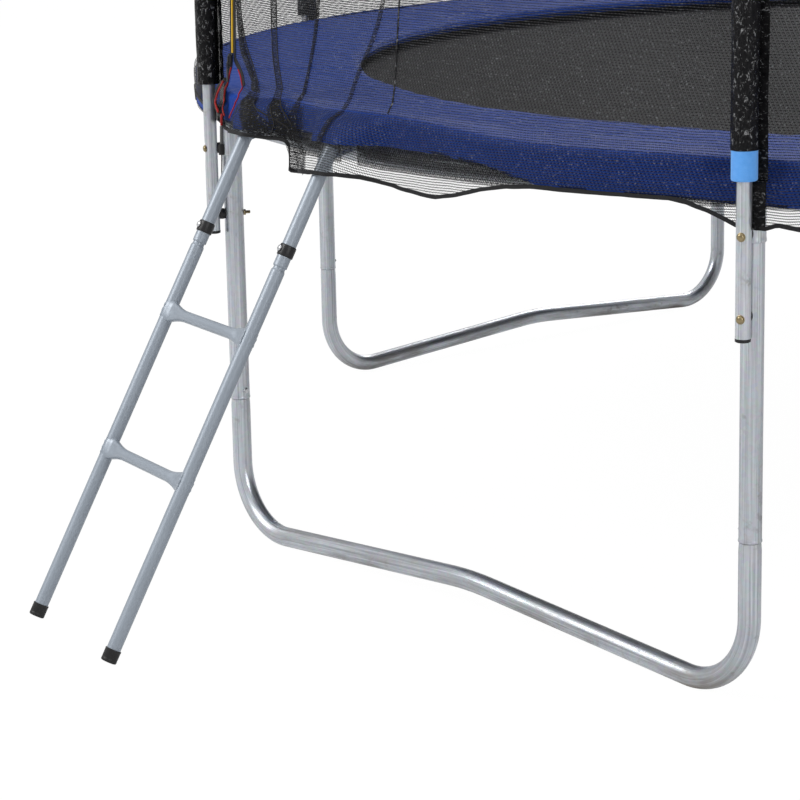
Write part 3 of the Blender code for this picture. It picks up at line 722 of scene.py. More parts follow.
def base_path():
    """Centre line of a base as (along, height), from one top over the bar to the other."""
    half = [(HALF_BASE, SEAM_HEIGHT - 0.0004 - 0.0135 * k) for k in range(9)]
    for angle in np.linspace(0, math.pi / 2 + BAR_RISE, 34):
        along = HALF_BASE - BEND_RADIUS + BEND_RADIUS * math.cos(angle)
        half.append((along, BEND_HEIGHT - BEND_RADIUS * math.sin(angle)))
    start, low = half[-1]
    slope = math.tan(BAR_RISE)
    for along in np.linspace(start, KNEE, 26)[1:]:
        half.append((along, low + (start - along) * slope))
    top = half[-1][1]
    middle = [(along, top + slope * (KNEE * KNEE - along * along) / (2 * KNEE))
              for along in np.linspace(KNEE, -KNEE, 13)[1:-1]]
    return np.array(half + middle + [(-along, z) for along, z in half[::-1]])


def press(points, at, out, depth, size, upright):
    """Presses a soft dent inwards at a place; upright below 1 makes it taller."""
    distance = np.linalg.norm((points - at) * [1, 1, upright], axis=1)
    points -= out * (depth * bell(distance, size))[:, None]


def leg_base(side, facing):
    out, along = compass(facing)
    line = base_path()
    radii = np.full(len(line), TUBE_RADIUS)
    radii[[0, -1]] -= 0.0009
    build = Build()
    path = out * BASE_PLANE + along * line[:, :1] + UP * line[:, 1:]
    build.tube(path, radii, sides=32, normal=out)
    build.make(f"leg_{side}", [STEEL_LOW], "galvanised_steel", stands=[f"leg_base_{side}"])


def post(number, degrees):
    out, _ = compass(degrees)
    lip = np.array(POST_LIP)
    heights = np.concatenate(
        [SEAM_HEIGHT + lip[:, 0], np.linspace(0.30, 0.815, 30), [0.8215, 0.822]]
    )
    radii = np.full(len(heights), TUBE_RADIUS)
    radii[:6] += lip[:, 1]
    radii[-1] -= 0.0006
    build = Build()
    path = out * RING_RADIUS + UP * heights[:, None]
    points = build.tube(path, radii, sides=32, normal=out)
    for z in BOLT_HEIGHTS:
        at = out * (RING_RADIUS + TUBE_RADIUS) + UP * z
        press(points, at, out, depth=0.0006, size=0.010, upright=0.7)
    build.make(f"post_{number}", [STEEL], "galvanised_steel", stands=[f"leg_post_{number}"])


def ring_arc(number, degrees):
    """An eighth of the ring, with the socket under its middle and the weld bead between."""
    build = Build()
    end = HALF_STEP
    bearings = degrees + np.concatenate(
        [[0.006 - end, 0.03 - end, -22.3], np.linspace(-22, 22, 60),
         [22.3, end - 0.03, end - 0.006]]
    )
    radii = np.full(len(bearings), TUBE_RADIUS)
    radii[[0, -1]] -= 0.0010
    build.tube(polar(RING_RADIUS, bearings, RING_HEIGHT), radii, sides=28, normal=UP)

    out, around = compass(degrees)
    foot = out * RING_RADIUS
    rim = [(-0.0022, 0.7735), (-0.0002, 0.7732), (0.0007, 0.7742),
           (0.0008, 0.7765), (0.0003, 0.7795), (0, 0.783)]  # (radius over the socket's, height)
    profile = [(SOCKET_RADIUS + extra, z) for extra, z in rim]
    profile += [(SOCKET_RADIUS, z) for z in (*np.linspace(0.787, 0.822, 8), RING_HEIGHT)]
    points = build.turned(profile, foot, sides=32, ref=out)
    at = foot + out * SOCKET_RADIUS + UP * BOLT_HEIGHTS[1]
    press(points, at, out, depth=0.0007, size=0.009, upright=0.8)

    angle = round_angles(72)
    x, y = SOCKET_RADIUS * np.cos(angle), SOCKET_RADIUS * np.sin(angle)
    drop = np.sqrt(TUBE_RADIUS**2 - np.minimum(np.abs(x), TUBE_RADIUS * 0.97) ** 2)
    path = foot + out * x[:, None] + around * y[:, None]
    path = path + UP * (RING_HEIGHT - drop - 0.0006)[:, None]
    bead = 0.0022 + 0.0004 * np.sin(angle * 23) + 0.0003 * noise(angle * 9, 0, 31 + number)
    build.tube(path, np.where(drop > 0.006, bead, 0.0012), sides=8, closed=True, normal=UP)
    build.make(f"ring_{number}", [STEEL], "galvanised_steel", stands=[f"ring_segment_{number}"])


for side, facing in (("front", -90), ("right", 0), ("back", 90), ("left", 180)):
    leg_base(side, facing)
for number, degrees in POLES:
    post(number, degrees)
for number, degrees in POLES:
    ring_arc(number, degrees)

# ------------------------------------------------------------------ net poles and their covers
CAP_RADIUS = 0.0170


def round_pole(degrees, angle, radius, z):
    """Points on circles about a net pole; angle 0 faces outwards."""
    out, around = compass(degrees)
    x, y, z = np.broadcast_arrays(radius * np.cos(angle), radius * np.sin(angle), z)
    return out * (POLE_CIRCLE + x)[..., None] + around * y[..., None] + UP * z[..., None]


def net_pole(number, degrees):
    out, around = compass(degrees)
    foot = out * POLE_CIRCLE
    heights = np.concatenate(
        [[POLE_LOW, POLE_LOW + 0.0008], np.linspace(POLE_LOW + 0.004, 0.93, 90),
         np.linspace(0.96, POLE_HIGH, 20)]
    )
    radii = np.full(len(heights), POLE_RADIUS)
    radii[0] = 0.0118
    build = Build()
    points = build.tube(foot + UP * heights[:, None], radii, sides=28, normal=out)
    for z in BOLT_HEIGHTS:
        # a small dish at the bolt with a longer hollow under it
        offset = points - (foot + out * POLE_RADIUS + UP * z)
        across = bell(offset @ around, 0.0065) * (offset @ out > -0.010)
        dish = bell(offset[:, 2], 0.011) + 0.7 * bell(offset[:, 2] + 0.016, 0.013)
        points -= out * (0.0013 * across * dish)[:, None]
    build.make(f"pole_{number}", [POLE_STEEL], "galvanised_steel", stands=[f"net_pole_{number}"])


def cap_and_plug(number, degrees):
    foot = compass(degrees)[0] * POLE_CIRCLE
    # (radius, height over the pole's lower end)
    plug = [(0.002, -0.0030), (0.0105, -0.0030), (0.0127, -0.0018),
            (0.0129, 0.0022), (0.0126, 0.0030)]
    # (radius over the cap's, height)
    cap = [(-0.001, 2.5622), (0, 2.5632), (0, 2.641), (-0.0006, 2.6445),
           (-0.002, 2.649), (-0.005, 2.6545), (-0.009, 2.6580)]
    cap = [(0.0129, 2.562), *((CAP_RADIUS + extra, z) for extra, z in cap),
           (0.004, 2.6596), (0.0002, 2.6600)]
    bead = [(0.0006, 2.5665), (0.0010, 2.5675), (0.0010, 2.5690), (0.0006, 2.5700)]
    build = Build()
    build.turned([(radius, POLE_LOW + z) for radius, z in plug], foot, sides=28)
    build.turned(cap, foot, sides=28)
    build.turned([(CAP_RADIUS + extra, z) for extra, z in bead], foot, sides=28)
    build.make(f"pole_cap_and_plug_{number}", [PLASTIC], "black_plastic",
               stands=[f"pole_cap_{number}"], sharp=50)


def pole_foam(number, degrees):
    short = number in SHORT_FOAM
    low = 0.9190 if short else FOAM_LOW - 0.0105
    heights = np.concatenate(
        [[low, low + 0.0010, low + 0.003], np.linspace(low + 0.006, 0.94, 12),
         np.linspace(0.97, FOAM_HIGH, 30)]
    )
    sides = 28
    angle = round_angles(sides)
    flare = 0.0007 * (1 - smooth(0.930, 0.945, heights)) * (not short)
    radii = (0.0205 + flare)[:, None]
    radii = radii + 0.0002 * noise(heights[:, None] * 30, angle * 2, 40 + number)
    radii[0] -= 0.0022
    radii[1] -= 0.0006
    radii = np.vstack([np.full((1, sides), 0.0131), radii])  # the lower end's inner edge
    levels = np.concatenate([[low], heights])[:, None]
    build = Build()
    rows = build.grid(
        round_pole(degrees, angle, radii, levels), close_v=True,
        u=np.concatenate([[0], heights - low + 0.01]), v=np.arange(sides + 1) / sides * 0.133,
    )
    build.face(rows[-1][::-1])
    build.make(f"foam_{number}", [FOAM], "pole_foam", stands=[f"pole_foam_{number}"])


def pole_sleeve(number, degrees):
    """Crumpled sheet over the foam."""
    sides = 56
    angle = round_angles(sides)
    low = 0.9150 if number in SHORT_FOAM else 0.9235
    heights = np.concatenate(
        [[low, low + 0.0002, low + 0.0015], np.linspace(low + 0.003, 2.558, 400)]
    )
    turn, z = angle / (2 * math.pi), heights[:, None]
    soft = noise(turn * 5, z * 16, 50 + number, 5) * 0.0005
    drift = 6 * noise(turn * 4, z * 9, 60 + number, 4)
    coarse = ridge(turn * 9, z * 42 + drift, 70 + number, 9)
    drift = 5 * noise(turn * 6, z * 14, 61 + number, 6)
    fine = ridge(turn * 17, z * 95 + drift, 80 + number, 17)
    radii = 0.02235 + soft
    radii = radii - 0.0008 * np.clip(coarse, 0, 1) ** 2 - 0.0004 * np.clip(fine, 0, 1) ** 2
    radii -= 0.0005 * bell(z - low - 0.0115, 0.0018)  # groove over the lower edge
    radii[0] -= 0.0016
    radii[1] -= 0.0002
    points = round_pole(degrees, angle, radii, z)
    middle = compass(degrees)[0] * POLE_CIRCLE + UP * 2.5600
    build = Build()
    build.grid(points, close_v=True, u=heights, v=np.arange(sides + 1) / sides * 0.14)
    build.grid(np.stack([points[-1], points[-1] * 0.35 + middle * 0.65]), close_v=True)
    under = round_pole(degrees, angle, 0.0205, low + 0.0001)
    build.grid(np.stack([under, points[0]]), close_v=True)
    build.make(f"sleeve_{number}", [SHEET], "sleeve_sheet", sharp=75)


for number, degrees in POLES:
    net_pole(number, degrees)
    cap_and_plug(number, degrees)
    pole_foam(number, degrees)
    pole_sleeve(number, degrees)

# ------------------------------------------------------------------ bolts, spacers and screws
# Turned profiles: (radius, height from the seat).
WASHER = [(0.0050, -0.0002), (0.0072, 0.0), (0.0074, 0.0004),
          (0.0074, 0.0011), (0.0070, 0.0014), (0.0060, 0.0015)]
DOMED_HEAD = [(0.0056, 0.0013), (0.0062, 0.0016), (0.0063, 0.0023), (0.0057, 0.0036),
              (0.0044, 0.0046), (0.0026, 0.0051), (0.0004, 0.0052)]
THREAD = [(0.0028, 0), (0.00325, 0.0004), (0.0028, 0.0008)]
SCREW_FLANGE = [(0.0054, 0), (0.0060, 0.0004), (0.0060, 0.0010), (0.0050, 0.0014)]


def hexagon(build, at, axis, across, height, material=0, phase=0.0):
    """A hexagonal nut or head; across is the width over its flats."""
    radius = across / math.sqrt(3)
    profile = [(radius * 0.90, 0), (radius, height * 0.14),
               (radius, height * 0.86), (radius * 0.90, height)]
    build.turned(profile, at, axis, sides=6, material=material, phase=phase)


def hex_screw(build, at, axis, phase=0.0):
    build.turned(SCREW_FLANGE, at, axis, material=1)
    hexagon(build, at + axis * 0.0012, axis, across=0.0080, height=0.0036, material=1, phase=phase)


def pole_bolt(build, number, out, z, leg_radius):
    face = POLE_CIRCLE + POLE_RADIUS - 0.0016
    inside = RING_RADIUS - leg_radius
    for profile in (WASHER, DOMED_HEAD):
        build.turned(profile, out * face + UP * z, out, sides=28)
    ends = [out * (face - 0.001) + UP * z, out * (inside - 0.0135) + UP * z]
    build.tube(np.linspace(*ends, 4), 0.0029, sides=16)
    for k in range(6):
        build.turned(THREAD, out * (inside - 0.0062 - 0.0011 * k) + UP * z, -out, sides=16)
    seat = out * (inside + 0.0004) + UP * z
    hexagon(build, seat, -out, across=0.0098, height=0.0052, phase=0.3 * number)


def spacer(build, out, around, z, leg_radius):
    """An oval block, hollowed to fit the leg and the pole."""
    angle = round_angles(30)
    y, rise = 0.0080 * np.cos(angle), 0.0105 * np.sin(angle)
    inner = RING_RADIUS + np.sqrt(leg_radius**2 - y**2) + 0.0001
    outer = POLE_CIRCLE - np.sqrt(POLE_RADIUS**2 - (y * 0.98) ** 2) - 0.0001
    layers = []
    for share, swell in ((0.0, 0.90), (0.10, 1.0), (0.5, 1.03), (0.90, 1.0), (1.0, 0.90)):
        radius = inner * (1 - share) + outer * share
        layers.append(out * radius[:, None] + around * (y * swell)[:, None]
                      + UP * (z + rise * swell)[:, None])
    build.close_ends(build.grid(np.array(layers), close_v=True))


bolts, spacers = Build(), Build()
for number, degrees in POLES:
    out, around = compass(degrees)
    for z, leg_radius in zip(BOLT_HEIGHTS, (TUBE_RADIUS, SOCKET_RADIUS)):
        pole_bolt(bolts, number, out, z, leg_radius)
        spacer(spacers, out, around, z, leg_radius)
    # a screw in each post, on the side facing the middle of its base
    side = 1 if number % 2 else -1
    to_middle = compass(degrees + HALF_STEP * side)[1] * side
    at = out * RING_RADIUS + to_middle * (TUBE_RADIUS - 0.0001) + UP * 0.2985
    hex_screw(bolts, at, to_middle, phase=0.2)
    # a screw beside each ring joint, facing inwards and down
    out, around = compass(degrees + HALF_STEP)
    axis = (-out - UP) / math.sqrt(2)
    hex_screw(bolts, out * RING_RADIUS + UP * RING_HEIGHT + around * 0.022 + axis * TUBE_RADIUS, axis)
bolts.make("bolts_and_nuts", [YELLOW_ZINC, PLAIN_ZINC], "bolt_zinc", sharp=35)
spacers.make("pole_spacers", [PLASTIC], "black_plastic", sharp=45)

# ------------------------------------------------------------------ mat, webbing, rings, springs
SPRINGS = 72
SPRING_STEP = 360 / SPRINGS
SPRING_HEIGHT = 0.8622
WEB_INNER, WEB_OUTER = 1.585, 1.6362
COIL_START, COIL_END, COIL_RADIUS, COIL_TURNS = 1.6700, 1.7680, 0.0052, 30


def mat_share(radius, *_):
    """How much of the mat's travel a place at this radius makes."""
    bowl = 0.35 + 0.65 * (1 - np.clip(radius / 1.64, 0, 1) ** 2)
    return np.where(radius <= 1.64, bowl, 0.35 * np.clip((1.80 - radius) / 0.16, 0, 1))


def sag(radius):
    return -0.006 * (1 - np.clip(np.asarray(radius) / 1.62, 0, 1) ** 2)


def jumping_mat():
    """Upper face from the middle out, the rim, and the under face back."""
    columns = 216
    degrees = np.arange(columns) * 360 / columns
    radii = np.concatenate(
        [[0.004, 0.02, 0.05], np.linspace(0.09, 1.60, 66), [1.6340, 1.6349, 1.6349, 1.6340],
         np.linspace(1.60, 0.09, 66), [0.05, 0.004]]
    )
    heights = np.array([0.8632] * 70 + [0.8626, 0.8614] + [0.8608] * 69) + sag(radii)
    ripple = noise(degrees / 60, radii[:, None] * 4, 90, 6) * (radii[:, None] < 1.6)
    heights = heights[:, None] + 0.0006 * ripple
    build = Build()
    rows = build.grid(
        polar(radii[:, None], degrees, heights), close_v=True,
        u=np.cumsum(np.abs(np.diff(radii, prepend=0))), v=np.arange(columns + 1) / columns * 10,
    )
    build.close_ends(rows)
    build.make("mat", [MAT_WEAVE], "mat_fabric", "jumping_mat", ["jumping_mat"], 50, mat_share)


def mat_webbing():
    """Tapes over and under the mat's edge, and two rows of stitches."""
    build = Build()
    columns = 720
    degrees = np.arange(columns) * 360 / columns
    for top, bottom in ((0.8650, 0.8636), (0.8604, 0.8590)):
        section = np.array([
            (WEB_INNER, bottom), (WEB_INNER, top), (WEB_INNER + 0.004, top + 0.0002),
            (WEB_OUTER - 0.020, top + 0.0001), (WEB_OUTER, top - 0.0002), (WEB_OUTER, bottom),
            (WEB_OUTER - 0.02, bottom), (WEB_INNER + 0.004, bottom),
        ])
        radii = section[:, 0][:, None]
        heights = section[:, 1][:, None] + sag(radii) + 0.0003 * np.sin(np.radians(degrees) * 144)
        build.grid(polar(radii, degrees, heights), close_u=True, close_v=True,
                   u=np.arange(9) * 0.02, v=np.arange(columns + 1) / columns * 10.2)
    for radius in (1.592, 1.628):
        for bearing in range(360):
            stitch = np.array([bearing - 0.09, bearing, bearing + 0.09])
            build.tube(polar(radius, stitch, 0.8654 + sag(radius)), 0.0005, sides=4, material=1)
    build.make("mat_webbing", [TAPE, GREY_WEB], "mat_fabric", "jumping_mat", sharp=40,
               weight=mat_share)


def mat_rings():
    """A wire triangle for each spring, its point outwards."""
    corners = np.array([(1.6300, -0.0150), (1.6300, 0.0150), (1.6540, 0.0)])
    outline = []
    for k in range(3):
        back, ahead = unit(corners[k - 1] - corners[k]), unit(corners[(k + 1) % 3] - corners[k])
        outline += [
            corners[k] + back * 0.0032,
            corners[k] + (back + ahead) * (0.0016 - 0.0004),
            corners[k] + ahead * 0.0032,
        ]
    outline = np.array(outline)
    build = Build()
    for k in range(SPRINGS):
        out, around = compass(SPRING_STEP * k)
        path = out * outline[:, :1] + around * outline[:, 1:] + UP * SPRING_HEIGHT
        build.tube(path, 0.0019, sides=8, closed=True, normal=UP)
    build.make("mat_rings", [PLAIN_ZINC], "spring_steel", "jumping_mat", sharp=40,
               weight=mat_share)


def spring_path():
    """A spring from its inner to its outer hook: (outwards, sideways, up)."""
    angle = np.linspace(0, COIL_TURNS * 2 * math.pi, COIL_TURNS * 9 + 1)
    along = COIL_START + (COIL_END - COIL_START) * angle / angle[-1]
    coil = np.stack([along, COIL_RADIUS * np.sin(angle), COIL_RADIUS * np.cos(angle)], -1)
    inner_hook = [
        (1.6535, 0, -0.0040), (1.6505, 0, -0.0022), (1.6502, 0, 0.0006), (1.6525, 0, 0.0030),
        (1.6560, 0, 0.0036), (1.6620, 0, 0.0036), (1.6675, 0, 0.0046),
    ]
    outer_hook = [
        (1.7705, 0, 0.0044), (1.7780, 0, 0.0026), (1.7900, 0, 0.0010),
        (1.8010, 0, -0.0006), (1.8085, 0, -0.0018), (1.8125, 0, -0.0030),
    ]
    return np.array(inner_hook + list(coil[2:-2]) + outer_hook)


def spring_group(group, line):
    build = Build()
    per_group = SPRINGS // 8
    in_coil = np.abs(line[:, 0] - (COIL_START + COIL_END) / 2) < 0.0495
    for k in range(group * per_group, (group + 1) * per_group):
        out, around = compass(SPRING_STEP * k)
        roll = 0.6 * math.sin(k * 2.3)  # each coil is turned by its own angle
        y = line[:, 1] * math.cos(roll) - line[:, 2] * math.sin(roll) * in_coil
        z = line[:, 2] * np.where(in_coil, math.cos(roll), 1) + line[:, 1] * math.sin(roll)
        path = out * line[:, :1] + around * y[:, None] + UP * (SPRING_HEIGHT + z)[:, None]
        build.tube(path, 0.00155, sides=5)
    build.make(f"springs_{group + 1}", [SPRING_ZINC], "spring_steel", "jumping_mat",
               stands=["springs"] if group == 0 else (), sharp=80, weight=mat_share)


jumping_mat()
mat_webbing()
mat_rings()
for group in range(8):
    spring_group(group, spring_path())

# ------------------------------------------------------------------ where the cloth hangs
# Edge heights near the door: (bearing, height).
PAD_TOP = [
    (-112, 0.902), (-108, 0.904), (-104, 0.915), (-102, 0.921), (-98, 0.917), (-93, 0.9235),
    (-90.8, 0.9235), (-86.9, 0.919), (-82.4, 0.908), (-78.2, 0.904), (-71.8, 0.906),
    (-68.6, 0.905),
]
SKIRT_BOTTOM = [
    (-112, 0.842), (-108, 0.848), (-104, 0.862), (-101, 0.871), (-98.8, 0.8690),
    (-96.5, 0.8700), (-94.5, 0.8740), (-90.8, 0.8732), (-87.5, 0.8722), (-85.2, 0.8680),
    (-83.1, 0.8605), (-79.6, 0.8400), (-78.2, 0.8372), (-71.4, 0.8375), (-68.3, 0.8350),
    (-64.9, 0.8335),
]
HEM = [
    (-125, 0.862), (-120, 0.858), (-116, 0.855), (-113, 0.846), (-111, 0.8355),
    (-109, 0.8340), (-108, 0.8343), (-107, 0.8365), (-106, 0.8429), (-105, 0.8515),
    (-104, 0.8560), (-103, 0.8565), (-102, 0.8563), (-101, 0.8549), (-100, 0.8530),
    (-99.6, 0.8500), (-99.34, 0.8430), (-99.28, 0.7978), (-99, 0.7970), (-98, 0.7985),
    (-97, 0.8038), (-96, 0.8116), (-95, 0.8181), (-94, 0.8206), (-93, 0.8221),
    (-92, 0.8221), (-91, 0.8182), (-90, 0.8084), (-89, 0.8021), (-88, 0.7999),
    (-87, 0.7976), (-86.06, 0.7969), (-84.5, 0.8060), (-82.83, 0.8205), (-81.14, 0.8300),
    (-79.53, 0.8345), (-75.5, 0.8345), (-71.6, 0.8350), (-70.6, 0.8310), (-69.55, 0.8205),
    (-68.09, 0.7991), (-66.62, 0.7958), (-65.97, 0.8034), (-64.74, 0.7979),
]
# How far out the cloth is pushed over the ladder's stiles: (height, radius).
NET_BULGE = [
    (0.79, 1.9545), (0.80, 1.9490), (0.84, 1.9270), (0.87, 1.9155), (0.884, 1.9100),
    (0.896, 1.9015), (0.904, 1.8950), (0.911, 1.8885), (0.920, 1.8700), (0.930, 1.8530),
    (0.940, 1.8480),
]
SKIRT_BULGE = [
    (0.84, 1.9115), (0.873, 1.9095), (0.884, 1.9060), (0.896, 1.8975), (0.904, 1.8905),
    (0.911, 1.8835), (0.920, 1.8650), (0.930, 1.8480),
]


def from_pole(degrees):
    """Degrees to the nearest net pole."""
    return np.abs((np.asarray(degrees, float) - FIRST_POLE + HALF_STEP) % POLE_STEP - HALF_STEP)


def near_pole(degrees, fade, flat):
    """1 within flat degrees of a net pole, 0 from fade degrees further."""
    return 1 - smooth(0, 1, (from_pole(degrees) - flat) / fade)


def wrap(degrees):
    return (np.asarray(degrees, float) + 180) % 360 - 180


def edge_height(degrees, points, rest, fade=3.0):
    """Height through (bearing, height) points, fading to rest outside them."""
    bearing = wrap(degrees)
    first, last = points[0][0], points[-1][0]
    inside = smooth(first - fade, first, bearing) * (1 - smooth(last, last + fade, bearing))
    return lookup(bearing, points) * inside + rest * (1 - inside)


def stile_angle(z):
    """Degrees from the ladder's middle to each stile's axis at a height."""
    reach = FOOT_RADIUS - math.tan(LEAN) * (np.asarray(z, float) - FOOT_HEIGHT)
    return np.degrees(np.arctan2(STILE_SIDE, reach))


def over_stiles(degrees, z, flat=0.75, fall=3.6):
    """1 over each ladder stile, falling to 0 beside it."""
    angle = stile_angle(z)
    shares = [
        1 - smooth(0, fall, np.abs(wrap(degrees) - (LADDER_AT + side * angle)) - flat)
        for side in (-1, 1)
    ]
    return np.maximum(*shares)


def calm_part(degrees):
    """1 over the stretch where pad skirt and net hang nearly flat."""
    bearing = wrap(degrees)
    return smooth(-137, -130, bearing) * (1 - smooth(-116, -113, bearing))


def pad_top(degrees):
    """Height of the pad's outer upper edge."""
    height = edge_height(degrees, PAD_TOP, 0.904)
    return height + 0.0012 * noise(wrap(degrees) / 360 * 40, 0.5, 101, 40)


def skirt_bottom(degrees):
    height = edge_height(degrees, SKIRT_BOTTOM, 0.838)
    return height + 0.0022 * noise(wrap(degrees) / 360 * 60, 2.5, 102, 60)


def hem_height(degrees):
    turn = wrap(degrees) / 360 + 0.5
    rest = 0.8190 + 0.0200 * noise(turn * 30, 0.3, 121, 30) + 0.004 * noise(turn * 90, 0.7, 122, 90)
    return edge_height(degrees, HEM, rest)


def plain_net_radius(degrees, z):
    """The net without wrinkles: round at the pad, eight-sided at the top."""
    off_middle = (degrees - FIRST_POLE) % POLE_STEP - HALF_STEP
    eight = math.cos(math.radians(HALF_STEP)) / np.cos(np.radians(off_middle))
    share = np.clip((z - NET_SPLIT) / 1.675, 0, 1)
    return 1.8472 * ((1 - share) + share * eight)


def net_radius(degrees, z):
    degrees, z = np.broadcast_arrays(np.asarray(degrees, float), np.asarray(z, float))
    free = 1 - near_pole(degrees, fade=1.9, flat=0.95)
    bearing = wrap(degrees)
    turn = bearing / 360 + 0.5
    # pulled in a little between the poles, with long soft folds
    soft = noise(turn * 48, z * 1.6, 111, 48) * 0.0045 + noise(turn * 120, z * 3.1, 112, 120) * 0.0016
    soft = soft * smooth(0.4, 3.0, np.abs(bearing + 108.6)) * smooth(0.925, 0.99, z)
    pull = 0.004 * smooth(0.1, 1, from_pole(degrees) / HALF_STEP) * smooth(0.93, 1.4, z)
    upper = plain_net_radius(degrees, z) + free * (soft - pull)
    # straight beside the zip
    by_zip = (1 - smooth(0.5, 3.2, np.abs(bearing - ZIP))) * smooth(0.945, 0.985, z)
    upper = upper * (1 - by_zip) + (1.8479 - 0.0303 * (z - 0.97)) * by_zip
    # at a pole it lies against it, and eases out over the skirt below
    at_pole = 1.8474 + 0.0088 * smooth(0.884, 0.868, z)
    # between the poles it bends over the pad's edge and hangs clear of the skirt
    above_pad = z - pad_top(degrees)
    over = smooth(0.020, 0.004, above_pad)
    below = smooth(0.004, -0.011, above_pad)
    folds = noise(turn * 60, z * 5, 113, 60) * 0.0034 + noise(turn * 170, z * 9, 114, 170) * 0.0016
    folds = np.clip(0.0022 + folds, 0.0, 0.0075)
    calm = calm_part(degrees)
    hang = 1.8562 + 0.0052 * below * (1 - 0.9 * calm) + folds * smooth(0.92, 0.84, z) * (1 - calm)
    radius = upper * (1 - over) + hang * over
    radius = radius * free + (1 - free) * at_pole
    push = np.maximum(lookup(z, NET_BULGE) - radius, 0)
    return radius + push * over_stiles(degrees, np.minimum(z, 0.89)) * (z < 0.945)


def ladder_share(_, degrees, z):
    """How far the cloth over the ladder's stiles goes with the ladder."""
    near_ladder = np.abs(wrap(degrees - LADDER_AT)) < 12
    return over_stiles(degrees, z, 1.0, 3.4) * (1 - smooth(0.868, 0.922, z)) * near_ladder


# ------------------------------------------------------------------ frame pad and its skirt
PAD_INNER, PAD_OUTER = 1.507, 1.8485
PAD_EDGE_HEIGHT = 0.8890  # the level its upper face rounds down towards at both edges


def pad_share(radius, *_):
    return 0.2 * np.clip((1.785 - radius) / (1.785 - PAD_INNER), 0, 1)


def frame_pad():
    columns = 1440
    degrees = np.arange(columns) * 360.0 / columns
    turn = degrees / 360
    steps = np.linspace(0, 1, 46)
    share = steps[:, None]  # from the inner to the outer edge
    width = PAD_OUTER - 0.0058 * near_pole(degrees, fade=1.9, flat=1.0) - PAD_INNER
    radii = PAD_INNER + width * share
    outer = pad_top(degrees)
    inner = 0.8990 + 0.0018 * noise(turn * 36, 0.1, 131, 36)
    climb = smooth(0.45, 1.0, share)
    top = inner * (1 - climb) + outer * climb
    from_seam = (degrees - FIRST_POLE - 11.25) % POLE_STEP - HALF_STEP
    seam = bell(from_seam * math.pi / 180 * 1.7, 0.010)
    drift = 0.35 * noise(turn * 40, share * 5, 132, 40)
    crease = np.clip(ridge(turn * 150 + drift, share * 2.2, 133, 150), 0, 1) ** 3
    top = (
        top
        + 0.0022 * noise(turn * 64, share * 3, 135, 64)
        - 0.0016 * crease * (0.4 + 0.6 * np.abs(2 * share - 1))
        + 0.0004 * noise(turn * 320, share * 9, 134, 320)
        - 0.0035 * seam
    )
    rounded = 0.25 + 0.75 * np.sqrt(smooth(0, 0.045, share))
    top = PAD_EDGE_HEIGHT + (top - PAD_EDGE_HEIGHT) * rounded
    rounded = 0.55 + 0.45 * np.sqrt(smooth(0, 0.045, 1 - share))
    top = np.where(share > 0.95, PAD_EDGE_HEIGHT + (top - PAD_EDGE_HEIGHT) * rounded, top)
    bottom = 0.8768 + 0.0004 * (1 - smooth(0, 0.05, share))
    bottom = bottom + np.maximum(outer - 0.906, 0) * smooth(0.6, 1.0, share) * 0.9
    build = Build()
    build.grid(
        polar(np.vstack([radii, radii[::-1]]), degrees, np.vstack([top, bottom[::-1]])),
        close_u=True, close_v=True,
        u=np.concatenate([steps * 0.34, 0.36 + steps * 0.34, [0.72]]),
        v=np.arange(columns + 1) / columns * 10.5,
    )
    # piping along the inner edge
    bearings = degrees[::2]
    path = polar(1.5055, bearings, 0.8865 + 0.0006 * np.sin(np.radians(bearings) * 40))
    build.tube(path, 0.0032, sides=8, closed=True, normal=UP, material=1)
    build.make("pad", [VINYL, VINYL], "pad_vinyl", "jumping_mat", ["frame_pad"], 70, pad_share)


def pad_skirt():
    columns = 2160
    degrees = np.arange(columns) * 360.0 / columns
    turn = degrees / 360
    share = np.linspace(0, 1, 34)[:, None]  # from the top down
    roll = 0.16  # the first part lies over the pad's edge
    rolled = share < roll
    angle = share / roll * math.pi / 2
    hang = np.clip((share - roll) / (1 - roll), 0, 1)
    top = pad_top(degrees) + 0.0012
    hanging = (top - 0.0105) * (1 - hang) + skirt_bottom(degrees) * hang
    z = np.where(rolled, top - 0.0105 * (1 - np.cos(angle)), hanging)
    free = 1 - near_pole(degrees, fade=1.9, flat=1.0)
    outer = 1.8525 * free + (1 - free) * (1.8438 + 0.0082 * smooth(0.880, 0.867, z))
    start = 1.8365 + 0.003 * free
    radii = np.where(rolled, start + (outer - start) * np.sin(angle), outer)
    wave = noise(turn * 64 + z * 9, z * 6, 141, 64) * 0.0022
    wave += 0.0012 * ridge(turn * 150 + 30 * z, z * 18, 142, 150)
    wave += 0.0013 * np.clip(ridge(turn * 90 - 45 * z, z * 10, 143, 90), 0, 1) ** 3
    folds = np.clip(0.0012 + wave, 0.0002, 0.0052)
    radii = radii + folds * free * hang * (1 - 0.85 * calm_part(degrees))
    push = np.maximum(lookup(z, SKIRT_BULGE) - radii, 0)
    radii = radii + push * over_stiles(degrees, 0.864, flat=0.95, fall=2.8)
    half_thick = 0.0005
    lift = half_thick * (1 - hang)
    outside = polar(radii + half_thick, degrees, z + lift)
    inside = polar(radii - half_thick, degrees, z - lift)
    points = np.concatenate([outside, inside[::-1]])
    build = Build()
    build.grid(points, close_u=True, close_v=True, flip=False,
               u=np.arange(len(points) + 1) * 0.004, v=np.arange(columns + 1) / columns * 11.6)
    build.make("pad_skirt", [VINYL], "pad_vinyl", "ladder", sharp=70, weight=ladder_share)


frame_pad()
pad_skirt()

